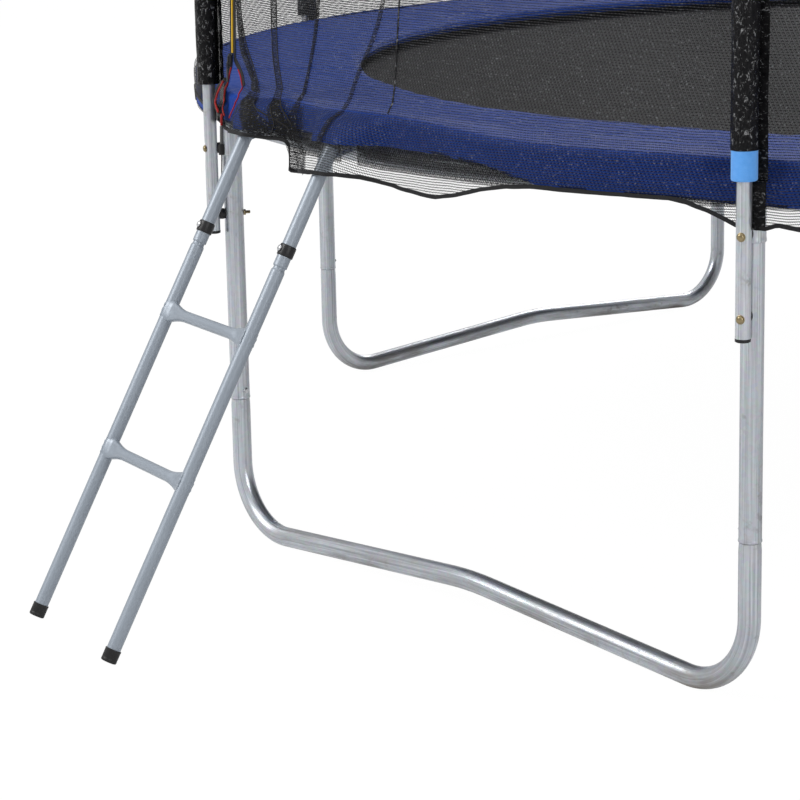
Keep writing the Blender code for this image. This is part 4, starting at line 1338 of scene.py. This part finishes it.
# ------------------------------------------------------------------ the net
# Edges of the slit under the zip: (height, bearing).
SLIT_LEFT = [
    (0.840, ZIP - 0.06), (0.857, ZIP - 0.30), (0.873, -110.2), (0.890, -110.9), (0.905, -110.8),
    (0.925, -110.3), (0.945, -109.85), (0.960, -109.40), (0.972, ZIP - 0.06),
]
SLIT_RIGHT = [
    (0.840, ZIP + 0.06), (0.857, ZIP + 0.20), (0.873, -108.30), (0.890, -107.60),
    (0.905, -107.30), (0.925, -107.45), (0.945, -107.80), (0.960, -108.40), (0.972, ZIP + 0.06),
]


def net_columns(start, end, step, dense=()):
    """Bearings from start to end, with more in the dense (start, end, step) stretches."""
    parts = [np.arange(start, end, step), [end]] + [np.arange(*stretch) for stretch in dense]
    return np.unique(np.round(np.concatenate(parts), 4))


def open_slit(bearings, z):
    """Moves columns, laid from the zip right round to it again, apart at the slit."""
    right = (lookup(z, SLIT_RIGHT) - ZIP) * (1 - smooth(0, 3.5, bearings - ZIP))
    left = (lookup(z, SLIT_LEFT) - ZIP) * (1 - smooth(0, 3.5, ZIP + 360 - bearings))
    return bearings + right + left


def net_piece(build, columns, heights):
    """A single sheet of net. Returns its points."""
    bearings, z = np.broadcast_arrays(columns[:, None], heights)
    opened = open_slit(bearings, z)
    points = polar(net_radius(opened, z), opened, z)
    steps = np.linalg.norm(np.diff(points, axis=1), axis=2)
    run = np.concatenate([np.zeros((len(points), 1)), np.cumsum(steps, axis=1)], 1)
    v = z[:, -1:] - (run[:, -1:] - run)  # measured along the cloth, down from its upper edge
    build.grid(points, u=bearings * math.pi / 180 * NET_RADIUS, v=v, flip=False)
    return points


def hem_and_binding():
    """The net's lower part, over the pad's edge, and the tape along its hem."""
    build = Build()
    columns = net_columns(ZIP, ZIP + 360, 0.25, [(ZIP, -90, 0.125), (-99.5, -99.1, 0.03)])
    low = hem_height(columns)[:, None]
    points = net_piece(build, columns, low + (NET_SPLIT - low) * np.linspace(0, 1, 40))
    build.make("net_hem", [NET], "net_mesh", "ladder", sharp=180, weight=ladder_share)
    # painted shade: a dark mesh band behind the hem
    ring_shade_band()
    build = Build()
    path = points[:, 0] + UP * 0.0028
    k = np.arange(len(path))
    path[:, 2] += 0.0006 * noise(k * 0.35, 0.5, 151)
    build.ribbon(path, UP, 0.0072 + 0.0008 * noise(k * 0.21, 0.5, 152), 0.0022)
    build.make("net_hem_binding", [TAPE], "net_mesh", "ladder", weight=ladder_share)


def ring_shade_band():
    """A dark band of doubled mesh from the skirt's edge to the hem, between the ring and the net: painted
    shade standing in for the ring tube in shade behind the net. It has a gap at each ladder stile.
    """
    degrees = np.arange(0, 360, 0.5)
    share = np.linspace(0, 1, 14)[:, None]
    skirt = skirt_bottom(degrees)
    bottom = np.minimum(np.maximum(0.8300, hem_height(degrees) + 0.004), skirt - 0.002)
    z = (skirt + 0.004) * (1 - share) + bottom * share
    radii = 1.8546 + 0.0004 * noise(degrees / 360 * 90, z * 30, 181, 90)
    gaps = [LADDER_AT + side * float(stile_angle(0.85)) for side in (-1, 1)]
    solid = np.min([np.abs(wrap(degrees + 0.25) - gap) for gap in gaps], axis=0) > 0.80
    build = Build()
    build.grid(polar(radii, degrees, z), close_v=True, flip=False, u=z[:, 0],
               v=np.arange(len(degrees) + 1) * math.pi / 360 * NET_RADIUS,
               keep=np.broadcast_to(solid, (len(share) - 1, len(degrees))))
    build.make("ring_shade_band", [DOUBLE_NET], "net_mesh", sharp=180)


def net_upper():
    """The net right round outside the door, and the strip over the door."""
    build = Build()
    top = NET_HIGH - 0.012
    heights = np.concatenate([np.linspace(NET_SPLIT, 1.05, 30), np.linspace(1.06, top, 90)])
    columns = net_columns(DOOR_RIGHT, ZIP + 360, 0.5, [(250.0, ZIP + 360, 0.125)])
    net_piece(build, columns, heights)
    net_piece(build, net_columns(ZIP, DOOR_RIGHT, 0.5), np.linspace(DOOR_HIGH, top, 16))
    build.make("net_upper", [NET], "net_mesh", stands=["enclosure_net"], sharp=180)


def door_share(_, degrees, z):
    """The flap hangs from its right edge."""
    return smooth(0.0, 4.2, DOOR_RIGHT - degrees)


def door_flap():
    build = Build()
    heights = np.concatenate(
        [np.linspace(DOOR_LOW, 1.05, 34), np.linspace(1.06, DOOR_HIGH - 0.002, 80)]
    )
    net_piece(build, net_columns(ZIP, DOOR_RIGHT, 0.25), heights)
    build.make("door_flap", [NET], "net_mesh", "net_door", ["net_door"], 180, door_share)


hem_and_binding()
net_upper()
door_flap()


# ------------------------------------------------------------------ zip, tapes and piping
def on_net(points, lift, count):
    """A smooth line over the net through (bearing, height) points."""
    places, steps = np.linspace(0, 1, len(points)), np.linspace(0, 1, count)
    bearings, z = (
        soften(np.interp(steps, places, values), 3, mode="reflect", reflect_type="odd")
        for values in np.array(points, float).T
    )
    return polar(net_radius(bearings, z) + lift, bearings, z)


def strap(build, points, width, thick=0.0014, lift=0.0018, count=60, material=0):
    path = on_net(points, lift, count)
    across = np.cross(outward(path), tangents(path, closed=False))
    build.ribbon(path, across, width, thick, material=material)


def beside_slit(edge, offset, *stretches):
    """(bearing, height) points along a slit edge; stretches are (from, to, count)."""
    z = np.concatenate([np.linspace(*stretch) for stretch in stretches])
    return np.column_stack([lookup(z, edge) + offset, z])


def piping(build, edge, offset, stretch, count):
    build.tube(on_net(beside_slit(edge, offset, stretch), 0.0030, count), 0.0015, sides=10)


def zip_and_tapes():
    build = Build()
    line = beside_slit(SLIT_LEFT, -0.28, (0.862, 0.985, 16), (1.02, DOOR_HIGH, 12))
    strap(build, line, 0.014, count=160)
    build.make("zip_tape_left", [TAPE], "zip_tape")

    build = Build()
    piping(build, SLIT_LEFT, -0.02, (0.862, 0.955, 16), 70)
    piping(build, SLIT_RIGHT, 0.02, (0.862, 0.9245, 12), 40)
    build.make("zip_piping", [RED_PIPING], "zip_tape")

    build = Build()
    line = beside_slit(
        SLIT_RIGHT, 0.26, (DOOR_LOW + 0.001, 0.985, 10), (1.02, DOOR_HIGH - 0.004, 12)
    )
    strap(build, line, 0.014, count=160)
    top = DOOR_HIGH - 0.012
    strap(build, [(ZIP + 0.26, top), (-98, top), (DOOR_RIGHT - 0.1, top)], 0.014, count=70)
    build.make("zip_tape_right", [TAPE], "zip_tape", "net_door")

    build = Build()
    piping(build, SLIT_RIGHT, 0.02, (DOOR_LOW + 0.0005, 0.955, 8), 40)
    build.make("zip_piping_door", [RED_PIPING], "zip_tape", "net_door")

    build = Build()
    stretch = (0.984, DOOR_HIGH - 0.01, 24)
    line = (beside_slit(SLIT_LEFT, 0, stretch) + beside_slit(SLIT_RIGHT, 0, stretch)) / 2
    strap(build, line, 0.0065, thick=0.0024, lift=0.0030, count=160)
    build.make("zip_teeth", [YELLOW_TAPE], "zip_tape", "net_door")


def zip_slider():
    """The slider, its bridge, the wire ring and the pull."""
    low, high = (np.array(corner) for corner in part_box("zip_slider"))
    x, y, z = (low + high) / 2 - CENTRE
    at = polar(float(np.hypot(x, y)), ZIP, float(z))
    out, around = compass(ZIP)
    axes = (around, np.cross(ZIP_AXIS, around), ZIP_AXIS)
    build = Build()
    build.box(at, axes, (0.0120, 0.0060, 0.0260), bevel=0.002)
    bridge = at + ZIP_AXIS * 0.002 + out * 0.0040
    build.box(bridge, axes, (0.0060, 0.0035, 0.0130), bevel=0.001)
    angle = round_angles(24)[:, None]
    middle = at + out * 0.0055 - ZIP_AXIS * 0.010
    path = middle + around * (0.0045 * np.cos(angle)) - ZIP_AXIS * (0.0065 * np.sin(angle))
    build.tube(path, 0.0012, sides=8, closed=True)
    pull = middle - ZIP_AXIS * 0.0190
    build.box(pull, (around, out, ZIP_AXIS), (0.0085, 0.0024, 0.0240), bevel=0.0010)
    build.make("zip_slider_body", [PLASTIC], "zip_metal", "zip_slider", ["zip_slider"], sharp=40)


# Cords beside the slit: thickness radius, material, path steps, (bearing, height, radius) points.
DOOR_TIES = [
    (0.0032, 0, 40, [(-109.4, 0.935, 1.862), (-110.6, 0.915, 1.868), (-111.3, 0.890, 1.870),
                     (-110.8, 0.868, 1.870), (-109.9, 0.856, 1.868), (-109.5, 0.842, 1.868)]),
    (0.0020, 1, 40, [(-109.6, 0.930, 1.866), (-110.4, 0.905, 1.871), (-110.9, 0.884, 1.873),
                     (-110.3, 0.866, 1.872)]),
    (0.0024, 1, 12, [(-109.53, 0.868, 1.872), (-109.56, 0.856, 1.873), (-109.60, 0.843, 1.873)]),
    (0.0034, 2, 12, [(-109.60, 0.845, 1.873), (-109.66, 0.825, 1.873), (-109.72, 0.806, 1.873)]),
    (0.0062, 0, 12, [(-109.72, 0.808, 1.873), (-109.74, 0.797, 1.873), (-109.76, 0.786, 1.873)]),
    (0.0014, 2, 14, [(-109.76, 0.788, 1.873), (-109.85, 0.765, 1.873), (-109.95, 0.744, 1.873)]),
]


def door_ties():
    build = Build()
    for thickness, material, count, points in DOOR_TIES:
        places, steps = np.linspace(0, 1, len(points)), np.linspace(0, 1, count)
        bearings, z, radii = (
            soften(np.interp(steps, places, values), 2) for values in np.array(points).T
        )
        build.tube(polar(radii, bearings, z), thickness, sides=10, material=material)
    build.make("door_ties", [RUBBER, RED_PIPING, GREY_WEB], "cord")


zip_and_tapes()
zip_slider()
door_ties()

# ------------------------------------------------------------------ gathered bands on the net
# Bands of doubled mesh from the top down: (bearing, height, width in degrees). The first four
# run from left to right down the door and on to the hem; the others lie on the hem only.
BAND_A = [
    (-108.5, 2.29, 0.75), (-108.4, 1.60, 0.75), (-108.14, 1.082, 0.80), (-107.81, 1.049, 0.90),
    (-107.60, 1.012, 1.0), (-106.85, 0.967, 1.25), (-105.56, 0.934, 1.45), (-103.5, 0.912, 1.9),
    (-101.7, 0.894, 2.3), (-100.7, 0.878, 2.5), (-100.3, 0.858, 2.4),
]
BAND_B = [
    (-103.2, 2.29, 0.70), (-103.03, 1.094, 0.75), (-102.78, 1.025, 0.75), (-102.36, 0.953, 0.75),
    (-101.3, 0.928, 0.75), (-100.4, 0.910, 0.85), (-99.7, 0.883, 1.1), (-99.6, 0.858, 1.5),
]
BAND_C = [
    (-97.3, 2.29, 0.36), (-97.46, 1.105, 0.36), (-97.65, 1.055, 0.38), (-97.95, 1.002, 0.38),
    (-98.55, 0.955, 0.42), (-98.9, 0.923, 0.48), (-99.28, 0.888, 0.9), (-99.40, 0.856, 1.2),
]
BAND_D = [
    (-91.5, 2.29, 0.30), (-91.36, 1.116, 0.34), (-91.66, 1.077, 0.36), (-92.7, 1.014, 0.40),
    (-93.77, 0.968, 0.42), (-94.05, 0.925, 0.45), (-93.9, 0.897, 0.5), (-93.8, 0.872, 0.5),
]
HEM_BAND_A = [(-99.33, 0.880, 0.9), (-99.03, 0.847, 0.9), (-98.70, 0.825, 1.1), (-98.45, 0.7995, 1.5)]
HEM_BAND_B = [(-99.29, 0.891, 0.7), (-98.45, 0.850, 1.3), (-97.85, 0.822, 1.8), (-97.70, 0.8010, 1.6)]
HEM_PATCH = [(-119.5, 0.940, 2.0), (-119.5, 0.922, 5.5), (-119.5, 0.905, 7.5),
             (-119.5, 0.885, 6.5), (-119.5, 0.866, 2.0)]
DOOR_SPAN = (0.9256, 3)  # heights of the bands' parts that go with the door
HEM_SPAN = (0.0, 0.9249)


def band(build, points, span, lift=0.0012, shift=0.0, scale=1.0, across=9):
    """Lays a band's part within span on the net, moved by shift and with its width scaled."""
    bearings, heights, widths = np.array(points)[::-1].T
    z = np.linspace(max(span[0], heights[0]), min(span[1], heights[-1]), 90)
    steps = np.linspace(heights[0], heights[-1], 200)
    middle, width = (
        np.interp(z, steps, soften(np.interp(steps, heights, values), 6))
        for values in (bearings + shift, widths * scale)
    )
    side = np.linspace(-0.5, 0.5, across)[:, None]
    columns = middle + side * width * (1 + 0.10 * noise(z * 30, 0.5, 171))
    z = np.broadcast_to(z, columns.shape)
    free = 1 - near_pole(columns, fade=1.9, flat=0.95)
    ripple = 0.0010 * free * np.abs(noise(columns * 2.2, z * 30, 172))
    radii = net_radius(columns, z) + lift + 0.0006 * np.cos(side * math.pi) + ripple
    build.grid(polar(radii, columns, z), u=columns * math.pi / 180 * NET_RADIUS, v=z, flip=False)


def band_edge(build, points, side, span):
    """A tape along a band's left (-1) or right (1) edge."""
    bearings, heights, widths = np.array(points)[::-1].T
    z = np.linspace(min(span[1], heights[-1]), max(span[0], heights[0]), 46)
    line = np.column_stack([np.interp(z, heights, bearings + side * widths / 2), z])
    strap(build, line, 0.0032, thick=0.0010, lift=0.0030, count=90, material=1)


def seams(span, layers):
    """The four long bands, further layers as (points, settings), and the tapes on two bands."""
    build = Build()
    for points in (BAND_A, BAND_B, BAND_C, BAND_D):
        band(build, points, span)
    for points, settings in layers:
        band(build, points, span, **settings)
    for points, side in ((BAND_B, -1), (BAND_B, 1), (BAND_A, 1)):
        band_edge(build, points, side, span)
    return build


seams(DOOR_SPAN, [
    (BAND_A, dict(lift=0.0022, shift=-0.05, scale=0.8)),
    (BAND_A, dict(lift=0.0032, shift=0.05, scale=0.6)),
    (BAND_C, dict(lift=0.0024, scale=0.8)),
]).make("door_seams", [DOUBLE_NET, TAPE], "net_mesh", "net_door")
seams(HEM_SPAN, [
    (HEM_PATCH, dict(across=25)),
    (HEM_BAND_A, dict(lift=0.0026)),
    (HEM_BAND_B, dict(lift=0.0026)),
    (BAND_A, dict(lift=0.0026, shift=-0.3, scale=0.8)),
    (BAND_B, dict(lift=0.0026, shift=0.1, scale=0.7)),
]).make("hem_seams", [DOUBLE_NET, TAPE], "net_mesh", "ladder", weight=ladder_share)


# ------------------------------------------------------------------ bands, hem and rope by poles
def net_bands():
    """A strap along the door's right edge, and a crinkled band up the net at each pole."""
    build = Build()
    bearing = DOOR_RIGHT + 0.08
    line = [(bearing, 0.93), (bearing, 1.6), (bearing, DOOR_HIGH + 0.02)]
    strap(build, line, 0.0035, thick=0.0012, count=80)
    for _, degrees in POLES:
        low = float(hem_height(degrees)) - 0.002
        z = np.concatenate([np.linspace(low, 1.10, 130), np.linspace(1.11, NET_HIGH - 0.004, 260)])
        offset = np.linspace(-0.30, 0.92, 9)[:, None]
        crown = np.cos((offset - 0.31) / 0.61 * math.pi / 2)
        columns = degrees + offset + 0.10 * noise(z * 9, offset * 0.4, 161)
        crinkle = 0.0007 * noise(z * 85, offset * 5 + degrees, 162)
        crinkle = crinkle + 0.0004 * noise(z * 210, offset * 9, 163)
        radii = net_radius(columns, z) + 0.0006 * crown + 0.0010 + crinkle
        radii = np.minimum(radii, np.where(z > 0.872, 1.8490, 1.8582))
        outer = polar(radii, columns, z)
        shell = np.concatenate([outer, (outer - outward(outer) * 0.0009)[::-1]])
        build.grid(shell, close_u=True, u=np.arange(len(shell) + 1) * 0.005, v=z)
    build.make("net_bands", [SHEET], "net_mesh")


def net_top_hem():
    build = Build()
    degrees = np.arange(0, 360, 0.5)
    path = polar(net_radius(degrees, 2.586) + 0.0010, degrees, 2.589)
    build.ribbon(path, UP, 0.030, 0.0028, closed=True)
    build.make("net_top_hem", [TAPE], "net_mesh")


def top_rope():
    """The rope from pole to pole, sagging a little, and a tie round each pole's cap."""
    build = Build()
    corners = [polar(1.848, degrees, 2.605) for _, degrees in POLES]
    share = np.linspace(0, 1, 40)[:-1, None]
    sides = [
        corners[k] * (1 - share) + corners[(k + 1) % 8] * share
        - UP * (0.003 * np.sin(share * math.pi))
        for k in range(8)
    ]
    build.tube(np.concatenate(sides), 0.0035, sides=10, closed=True, normal=UP)
    angle = round_angles(40)
    for _, degrees in POLES:
        tie = round_pole(degrees, angle, 0.0192, 2.603) - compass(degrees)[0] * 0.0012
        build.tube(tie, 0.0020, sides=8, closed=True, normal=UP)
    build.make("rope_top", [TAPE], "cord", stands=["top_rope"])


net_bands()
net_top_hem()
top_rope()

# ------------------------------------------------------------------ ladder
LADDER_OUT, SIDEWAYS = compass(LADDER_AT)
ALONG = -LADDER_OUT * math.sin(LEAN) + UP * math.cos(LEAN)  # up the stiles
FACING = LADDER_OUT * math.cos(LEAN) + UP * math.sin(LEAN)  # square to the ladder's front
FOOT = LADDER_OUT * FOOT_RADIUS + UP * FOOT_HEIGHT
STILE_RADIUS = 0.0127
NECK_RADIUS = 0.0108  # the stile's thinner upper end, inside the top tube
TOP_TUBE_END = 0.979
RUNGS = (0.336, 0.611)
RUNG_END = STILE_SIDE + 0.0008
RUNG_TALL, RUNG_PRESSED = 0.0106, 0.0082  # half heights through the rung
SADDLE_RADIUS = 0.0138
# The hook plate round the ring: (angle in degrees, radius).
HOOK = [(15, 0.0264), (30, 0.0253), (50, 0.0241), (70, 0.0233), (90, 0.0230),
        (105, 0.0232), (125, 0.0238), (150, 0.0246), (175, 0.0253), (200, 0.0256)]


def stile_line(side, lengths):
    return FOOT + SIDEWAYS * (side * STILE_SIDE) + ALONG * np.asarray(lengths)[:, None]


def signed_power(values, power):
    return np.sign(values) * np.abs(values) ** power


def rung(build, height):
    """Round in the middle, pressed flatter, then flared to wrap each stile's inner half."""
    middle = FOOT + ALONG * height
    half = np.concatenate(
        [np.linspace(0.0, 0.075, 12), np.linspace(0.08, 0.1400, 30),
         np.linspace(0.1415, RUNG_END, 22)]
    )
    along = np.concatenate([-half[::-1], half[1:]])
    reach = np.abs(along)
    ending = smooth(0.080, 0.1440, reach)
    flare = np.clip((reach - 0.086) / (RUNG_END - 0.086), 0, 1) ** 1.8
    tall = RUNG_TALL + 0.0133 * flare
    pressed = RUNG_TALL * (1 - ending) + RUNG_PRESSED * ending
    saddle = np.sqrt(np.maximum(SADDLE_RADIUS**2 - (STILE_SIDE - reach) ** 2, 0))
    thick = np.maximum(pressed, saddle)
    thick = np.maximum(thick, RUNG_PRESSED + 0.0030 * smooth(0.1380, 0.1480, reach))
    thick = np.where(reach < STILE_SIDE, thick, saddle)
    sides = 48
    angle = round_angles(sides)
    ending = ending[:, None]
    y = signed_power(np.cos(angle), 1 - 0.18 * ending) * tall[:, None]
    x = signed_power(np.sin(angle), 1 - 0.55 * ending) * thick[:, None]
    # a long hollow pressed into each flared end, on both faces
    dent = 0.0024 * bell(reach - 0.124, 0.013)[:, None] * bell(y, 0.0095)
    x = x - np.sign(x) * np.minimum(dent, np.abs(x) * 0.6)
    points = (
        middle + SIDEWAYS * along[:, None, None] + ALONG * y[..., None] + FACING * x[..., None]
    )
    v = np.arange(sides + 1) / sides * 0.07
    build.close_ends(build.grid(points, close_v=True, u=along, v=v))
    # weld beads round the wrapped ends
    angle = round_angles(72)
    y = signed_power(np.cos(angle), 0.82)[:, None] * 0.0240
    x = signed_power(np.sin(angle), 0.45)[:, None] * 0.0136
    for side in (-1, 1):
        bead = 0.0014 + 0.0005 * np.sin(angle * 17 + side) + 0.0002 * np.cos(angle * 31)
        path = middle + SIDEWAYS * (side * (RUNG_END + 0.0002)) + ALONG * y + FACING * x
        build.tube(path, bead, sides=8, closed=True)


def ladder_body():
    build = Build()
    lengths = np.concatenate(
        [[0.0045, 0.006], np.linspace(0.02, 0.738, 90),
         [0.7400, 0.7415, 0.7430, 0.7445, 0.7460], np.linspace(0.749, 0.830, 12)]
    )
    radii = STILE_RADIUS - (STILE_RADIUS - NECK_RADIUS) * smooth(0.7402, 0.7458, lengths)
    for side in (-1, 1):
        build.tube(stile_line(side, lengths), radii, sides=32, normal=FACING)
    for height in RUNGS:
        rung(build, height)
    build.make("ladder_body", [POWDER], "powder_coat", "ladder", ["ladder_frame"], sharp=55)


def ladder_top(side, name):
    """The top tube with its hook plate, a bent strip that hangs on the ring."""
    build = Build()
    lengths = np.concatenate(
        [[0.7490, 0.7496, 0.751], np.linspace(0.758, 0.974, 32), [0.978, TOP_TUBE_END]]
    )
    radii = np.full(len(lengths), 0.0130)
    radii[0], radii[-1] = 0.0124, 0.0125
    build.tube(stile_line(side, lengths), radii, sides=32, normal=FACING)
    degrees = np.linspace(HOOK[-1][0], HOOK[0][0], 40)[:, None]
    angle, radius = np.radians(degrees), lookup(degrees, HOOK)
    arc = LADDER_OUT * 1.822 + UP * RING_HEIGHT
    arc = arc + LADDER_OUT * (radius * np.cos(angle)) + UP * (radius * np.sin(angle))
    seat = FOOT + ALONG * (TOP_TUBE_END - 0.020) - LADDER_OUT * 0.012
    share = np.linspace(0, 1, 14)[1:, None]
    path = np.concatenate([arc, arc[-1] * (1 - share) + seat * share])
    path = path + SIDEWAYS * (side * STILE_SIDE)
    build.ribbon(path, SIDEWAYS, 0.020, 0.0030)
    across = np.linspace(-1, 1, 15)
    for edge in (-1, 1):
        bead = path[-1] + SIDEWAYS * (across * 0.0085)[:, None]
        bead = bead + ALONG * (0.0028 * edge) + LADDER_OUT * 0.001
        build.tube(bead, 0.0014 + 0.0003 * np.sin(across * 22), sides=8)
    build.make(f"ladder_top_{name}", [POWDER], "powder_coat", "ladder",
               [f"ladder_hook_{name}"], sharp=50)


def ladder_clamp(side, name):
    """The collar over the stile's joint, with a flat boss and its screw."""
    foot = FOOT + SIDEWAYS * (side * STILE_SIDE)
    radius = 0.0148
    collar = [
        (0.0131, 0.7692), (radius - 0.0010, 0.7690), (radius - 0.0002, 0.7697),
        (radius, 0.7707), (radius, 0.7880), (radius - 0.0003, 0.7891),
        (radius - 0.0012, 0.7899), (0.0131, 0.7900),
    ]
    boss = [(0.0070, radius - 0.0026), (0.0070, radius + 0.0001),
            (0.0066, radius + 0.0005), (0.0040, radius + 0.0006)]
    screw = [(0.0052, -0.0004), (0.0058, 0.0002), (0.0057, 0.0011),
             (0.0047, 0.0023), (0.0028, 0.0030), (0.0003, 0.0032)]
    tilt = math.radians(6)
    axis = FACING * math.cos(tilt) - SIDEWAYS * math.sin(tilt)
    at = foot + ALONG * 0.7800
    build = Build()
    build.turned(collar, foot, ALONG, sides=40, ref=FACING)
    build.turned(boss, at, axis)
    build.make(f"ladder_clamp_{name}", [PLASTIC], "black_plastic", "ladder",
               [f"ladder_collar_{name}"], sharp=45)
    build = Build()
    build.turned(screw, at + axis * (radius + 0.0003), axis)
    build.make(f"ladder_screw_{name}", [PLAIN_ZINC], "bolt_zinc", "ladder", sharp=45)


def ladder_cap(side, name):
    """The stile's foot cap, with a groove and a rim."""
    radius = 0.0143
    # (radius over the cap's, height)
    wall = [
        (-0.0008, 0.0006), (0, 0.0022), (0, 0.0060), (-0.0003, 0.0066), (-0.0003, 0.0074),
        (0, 0.0080), (0, 0.0212), (0.0003, 0.0218), (0.0003, 0.0234), (-0.0004, 0.0240),
    ]
    profile = [(0.002, 0.0002), (0.0120, 0.0), *((radius + extra, z) for extra, z in wall),
               (0.0129, 0.0240)]
    build = Build()
    build.turned(profile, FOOT + SIDEWAYS * (side * STILE_SIDE), ALONG, sides=36)
    build.make(f"ladder_cap_{name}", [RUBBER], "black_plastic", "ladder",
               [f"ladder_foot_{name}"], sharp=45)


ladder_body()
for side, name in ((-1, "left"), (1, "right")):
    ladder_top(side, name)
    ladder_clamp(side, name)
    ladder_cap(side, name)


# ------------------------------------------------------------------ floor, world, lights, camera
def staged(name, data):
    thing = bpy.data.objects.new(name, data)
    bpy.context.scene.collection.objects.link(thing)
    return thing


def floor():
    """A grey floor that looks nearly plain white to the camera, and partly so in reflections."""
    look = Shader("floor")
    paint = look.node("BsdfDiffuse", {"Color": (0.80, 0.80, 0.80)}).outputs[0]
    glow = look.node("Emission", {"Color": (1, 1, 1), "Strength": 1.03}).outputs[0]
    seen = look.node("LightPath").outputs
    share = look.add(
        look.times(seen["Is Camera Ray"], 0.96), look.times(seen["Is Glossy Ray"], 0.45)
    )
    material = look.finish(look.mix_shaders(share, paint, glow))
    half, z = 60, -0.0005
    corners = [(-half, -half, z), (half, -half, z), (half, half, z), (-half, half, z)]
    mesh = bpy.data.meshes.new("floor")
    mesh.from_pydata(corners, [], [(0, 1, 2, 3)])
    mesh.materials.append(material)
    staged("floor", mesh)


def studio():
    """White to the camera; a soft sky by height, brighter in reflections, to all else."""
    look = Shader("studio", bpy.data.worlds, "OutputWorld")
    bpy.context.scene.world = look.block
    height = look.xyz(look.node("TexCoord").outputs["Generated"])[2]
    limits = {"From Min": -0.4, "From Max": 1.0, "Value": height}
    sky = look.node("ValToRGB", {0: look.node("MapRange", limits).outputs[0]})
    stops = sky.color_ramp.elements
    brightness = [(0.0, 0.75), (1.0, 1.0), (0.45, 0.62)]  # (position, value)
    for stop, (position, value) in zip([stops[0], stops[1], stops.new(0.45)], brightness):
        stop.position = position
        stop.color = (value, value, value * 1.01, 1)
    seen = look.node("LightPath").outputs
    strength = look.math("MULTIPLY_ADD", seen["Is Glossy Ray"], 0.55, 0.42)
    soft = look.node("Background", {"Color": sky.outputs[0], "Strength": strength}).outputs[0]
    white = look.node("Background", {"Color": (1, 1, 1), "Strength": 1.0}).outputs[0]
    look.finish(look.mix_shaders(seen["Is Camera Ray"], soft, white))


def area_light(name, where, target, size, watts):
    light = bpy.data.lights.new(name, "AREA")
    light.shape = "RECTANGLE"
    light.size, light.size_y = size
    light.energy = watts
    lamp = staged(name, light)
    lamp.location = where
    lamp.rotation_euler = (Vector(target) - Vector(where)).to_track_quat("-Z", "Y").to_euler()
    lamp.visible_camera = False


def camera():
    lens = bpy.data.cameras.new("camera")
    lens.sensor_width = 36.0
    lens.lens = 120.16
    lens.clip_start, lens.clip_end = 0.1, 200
    viewer = staged("camera", lens)
    right = Vector((0.6329994, 0.77387839, -0.02059135))
    up = Vector((-0.16708358, 0.16254221, 0.97245211))
    back = Vector((0.75590663, -0.61212112, 0.2321915))
    pose = Matrix((right, up, back)).transposed().to_4x4()
    pose.translation = Vector((3.56537, -4.47589, 1.517))
    viewer.matrix_world = pose
    bpy.context.scene.camera = viewer


floor()
studio()
area_light("key", (-3.5, -7.5, 6.0), target=(0, 0, 0.6), size=(4.5, 3.0), watts=450)
area_light("fill", (8.5, -3.0, 4.0), target=(0, 0, 0.6), size=(3.0, 4.0), watts=210)
area_light("top", (0.5, 0.5, 8.5), target=(0, 0, 0), size=(6, 6), watts=260)
area_light("rim", (-6.0, 6.5, 5.0), target=(0, 0, 0.8), size=(3, 3), watts=190)
camera()
bpy.context.scene.view_settings.view_transform = "Standard"
bpy.context.scene.cycles.transparent_max_bounces = 24
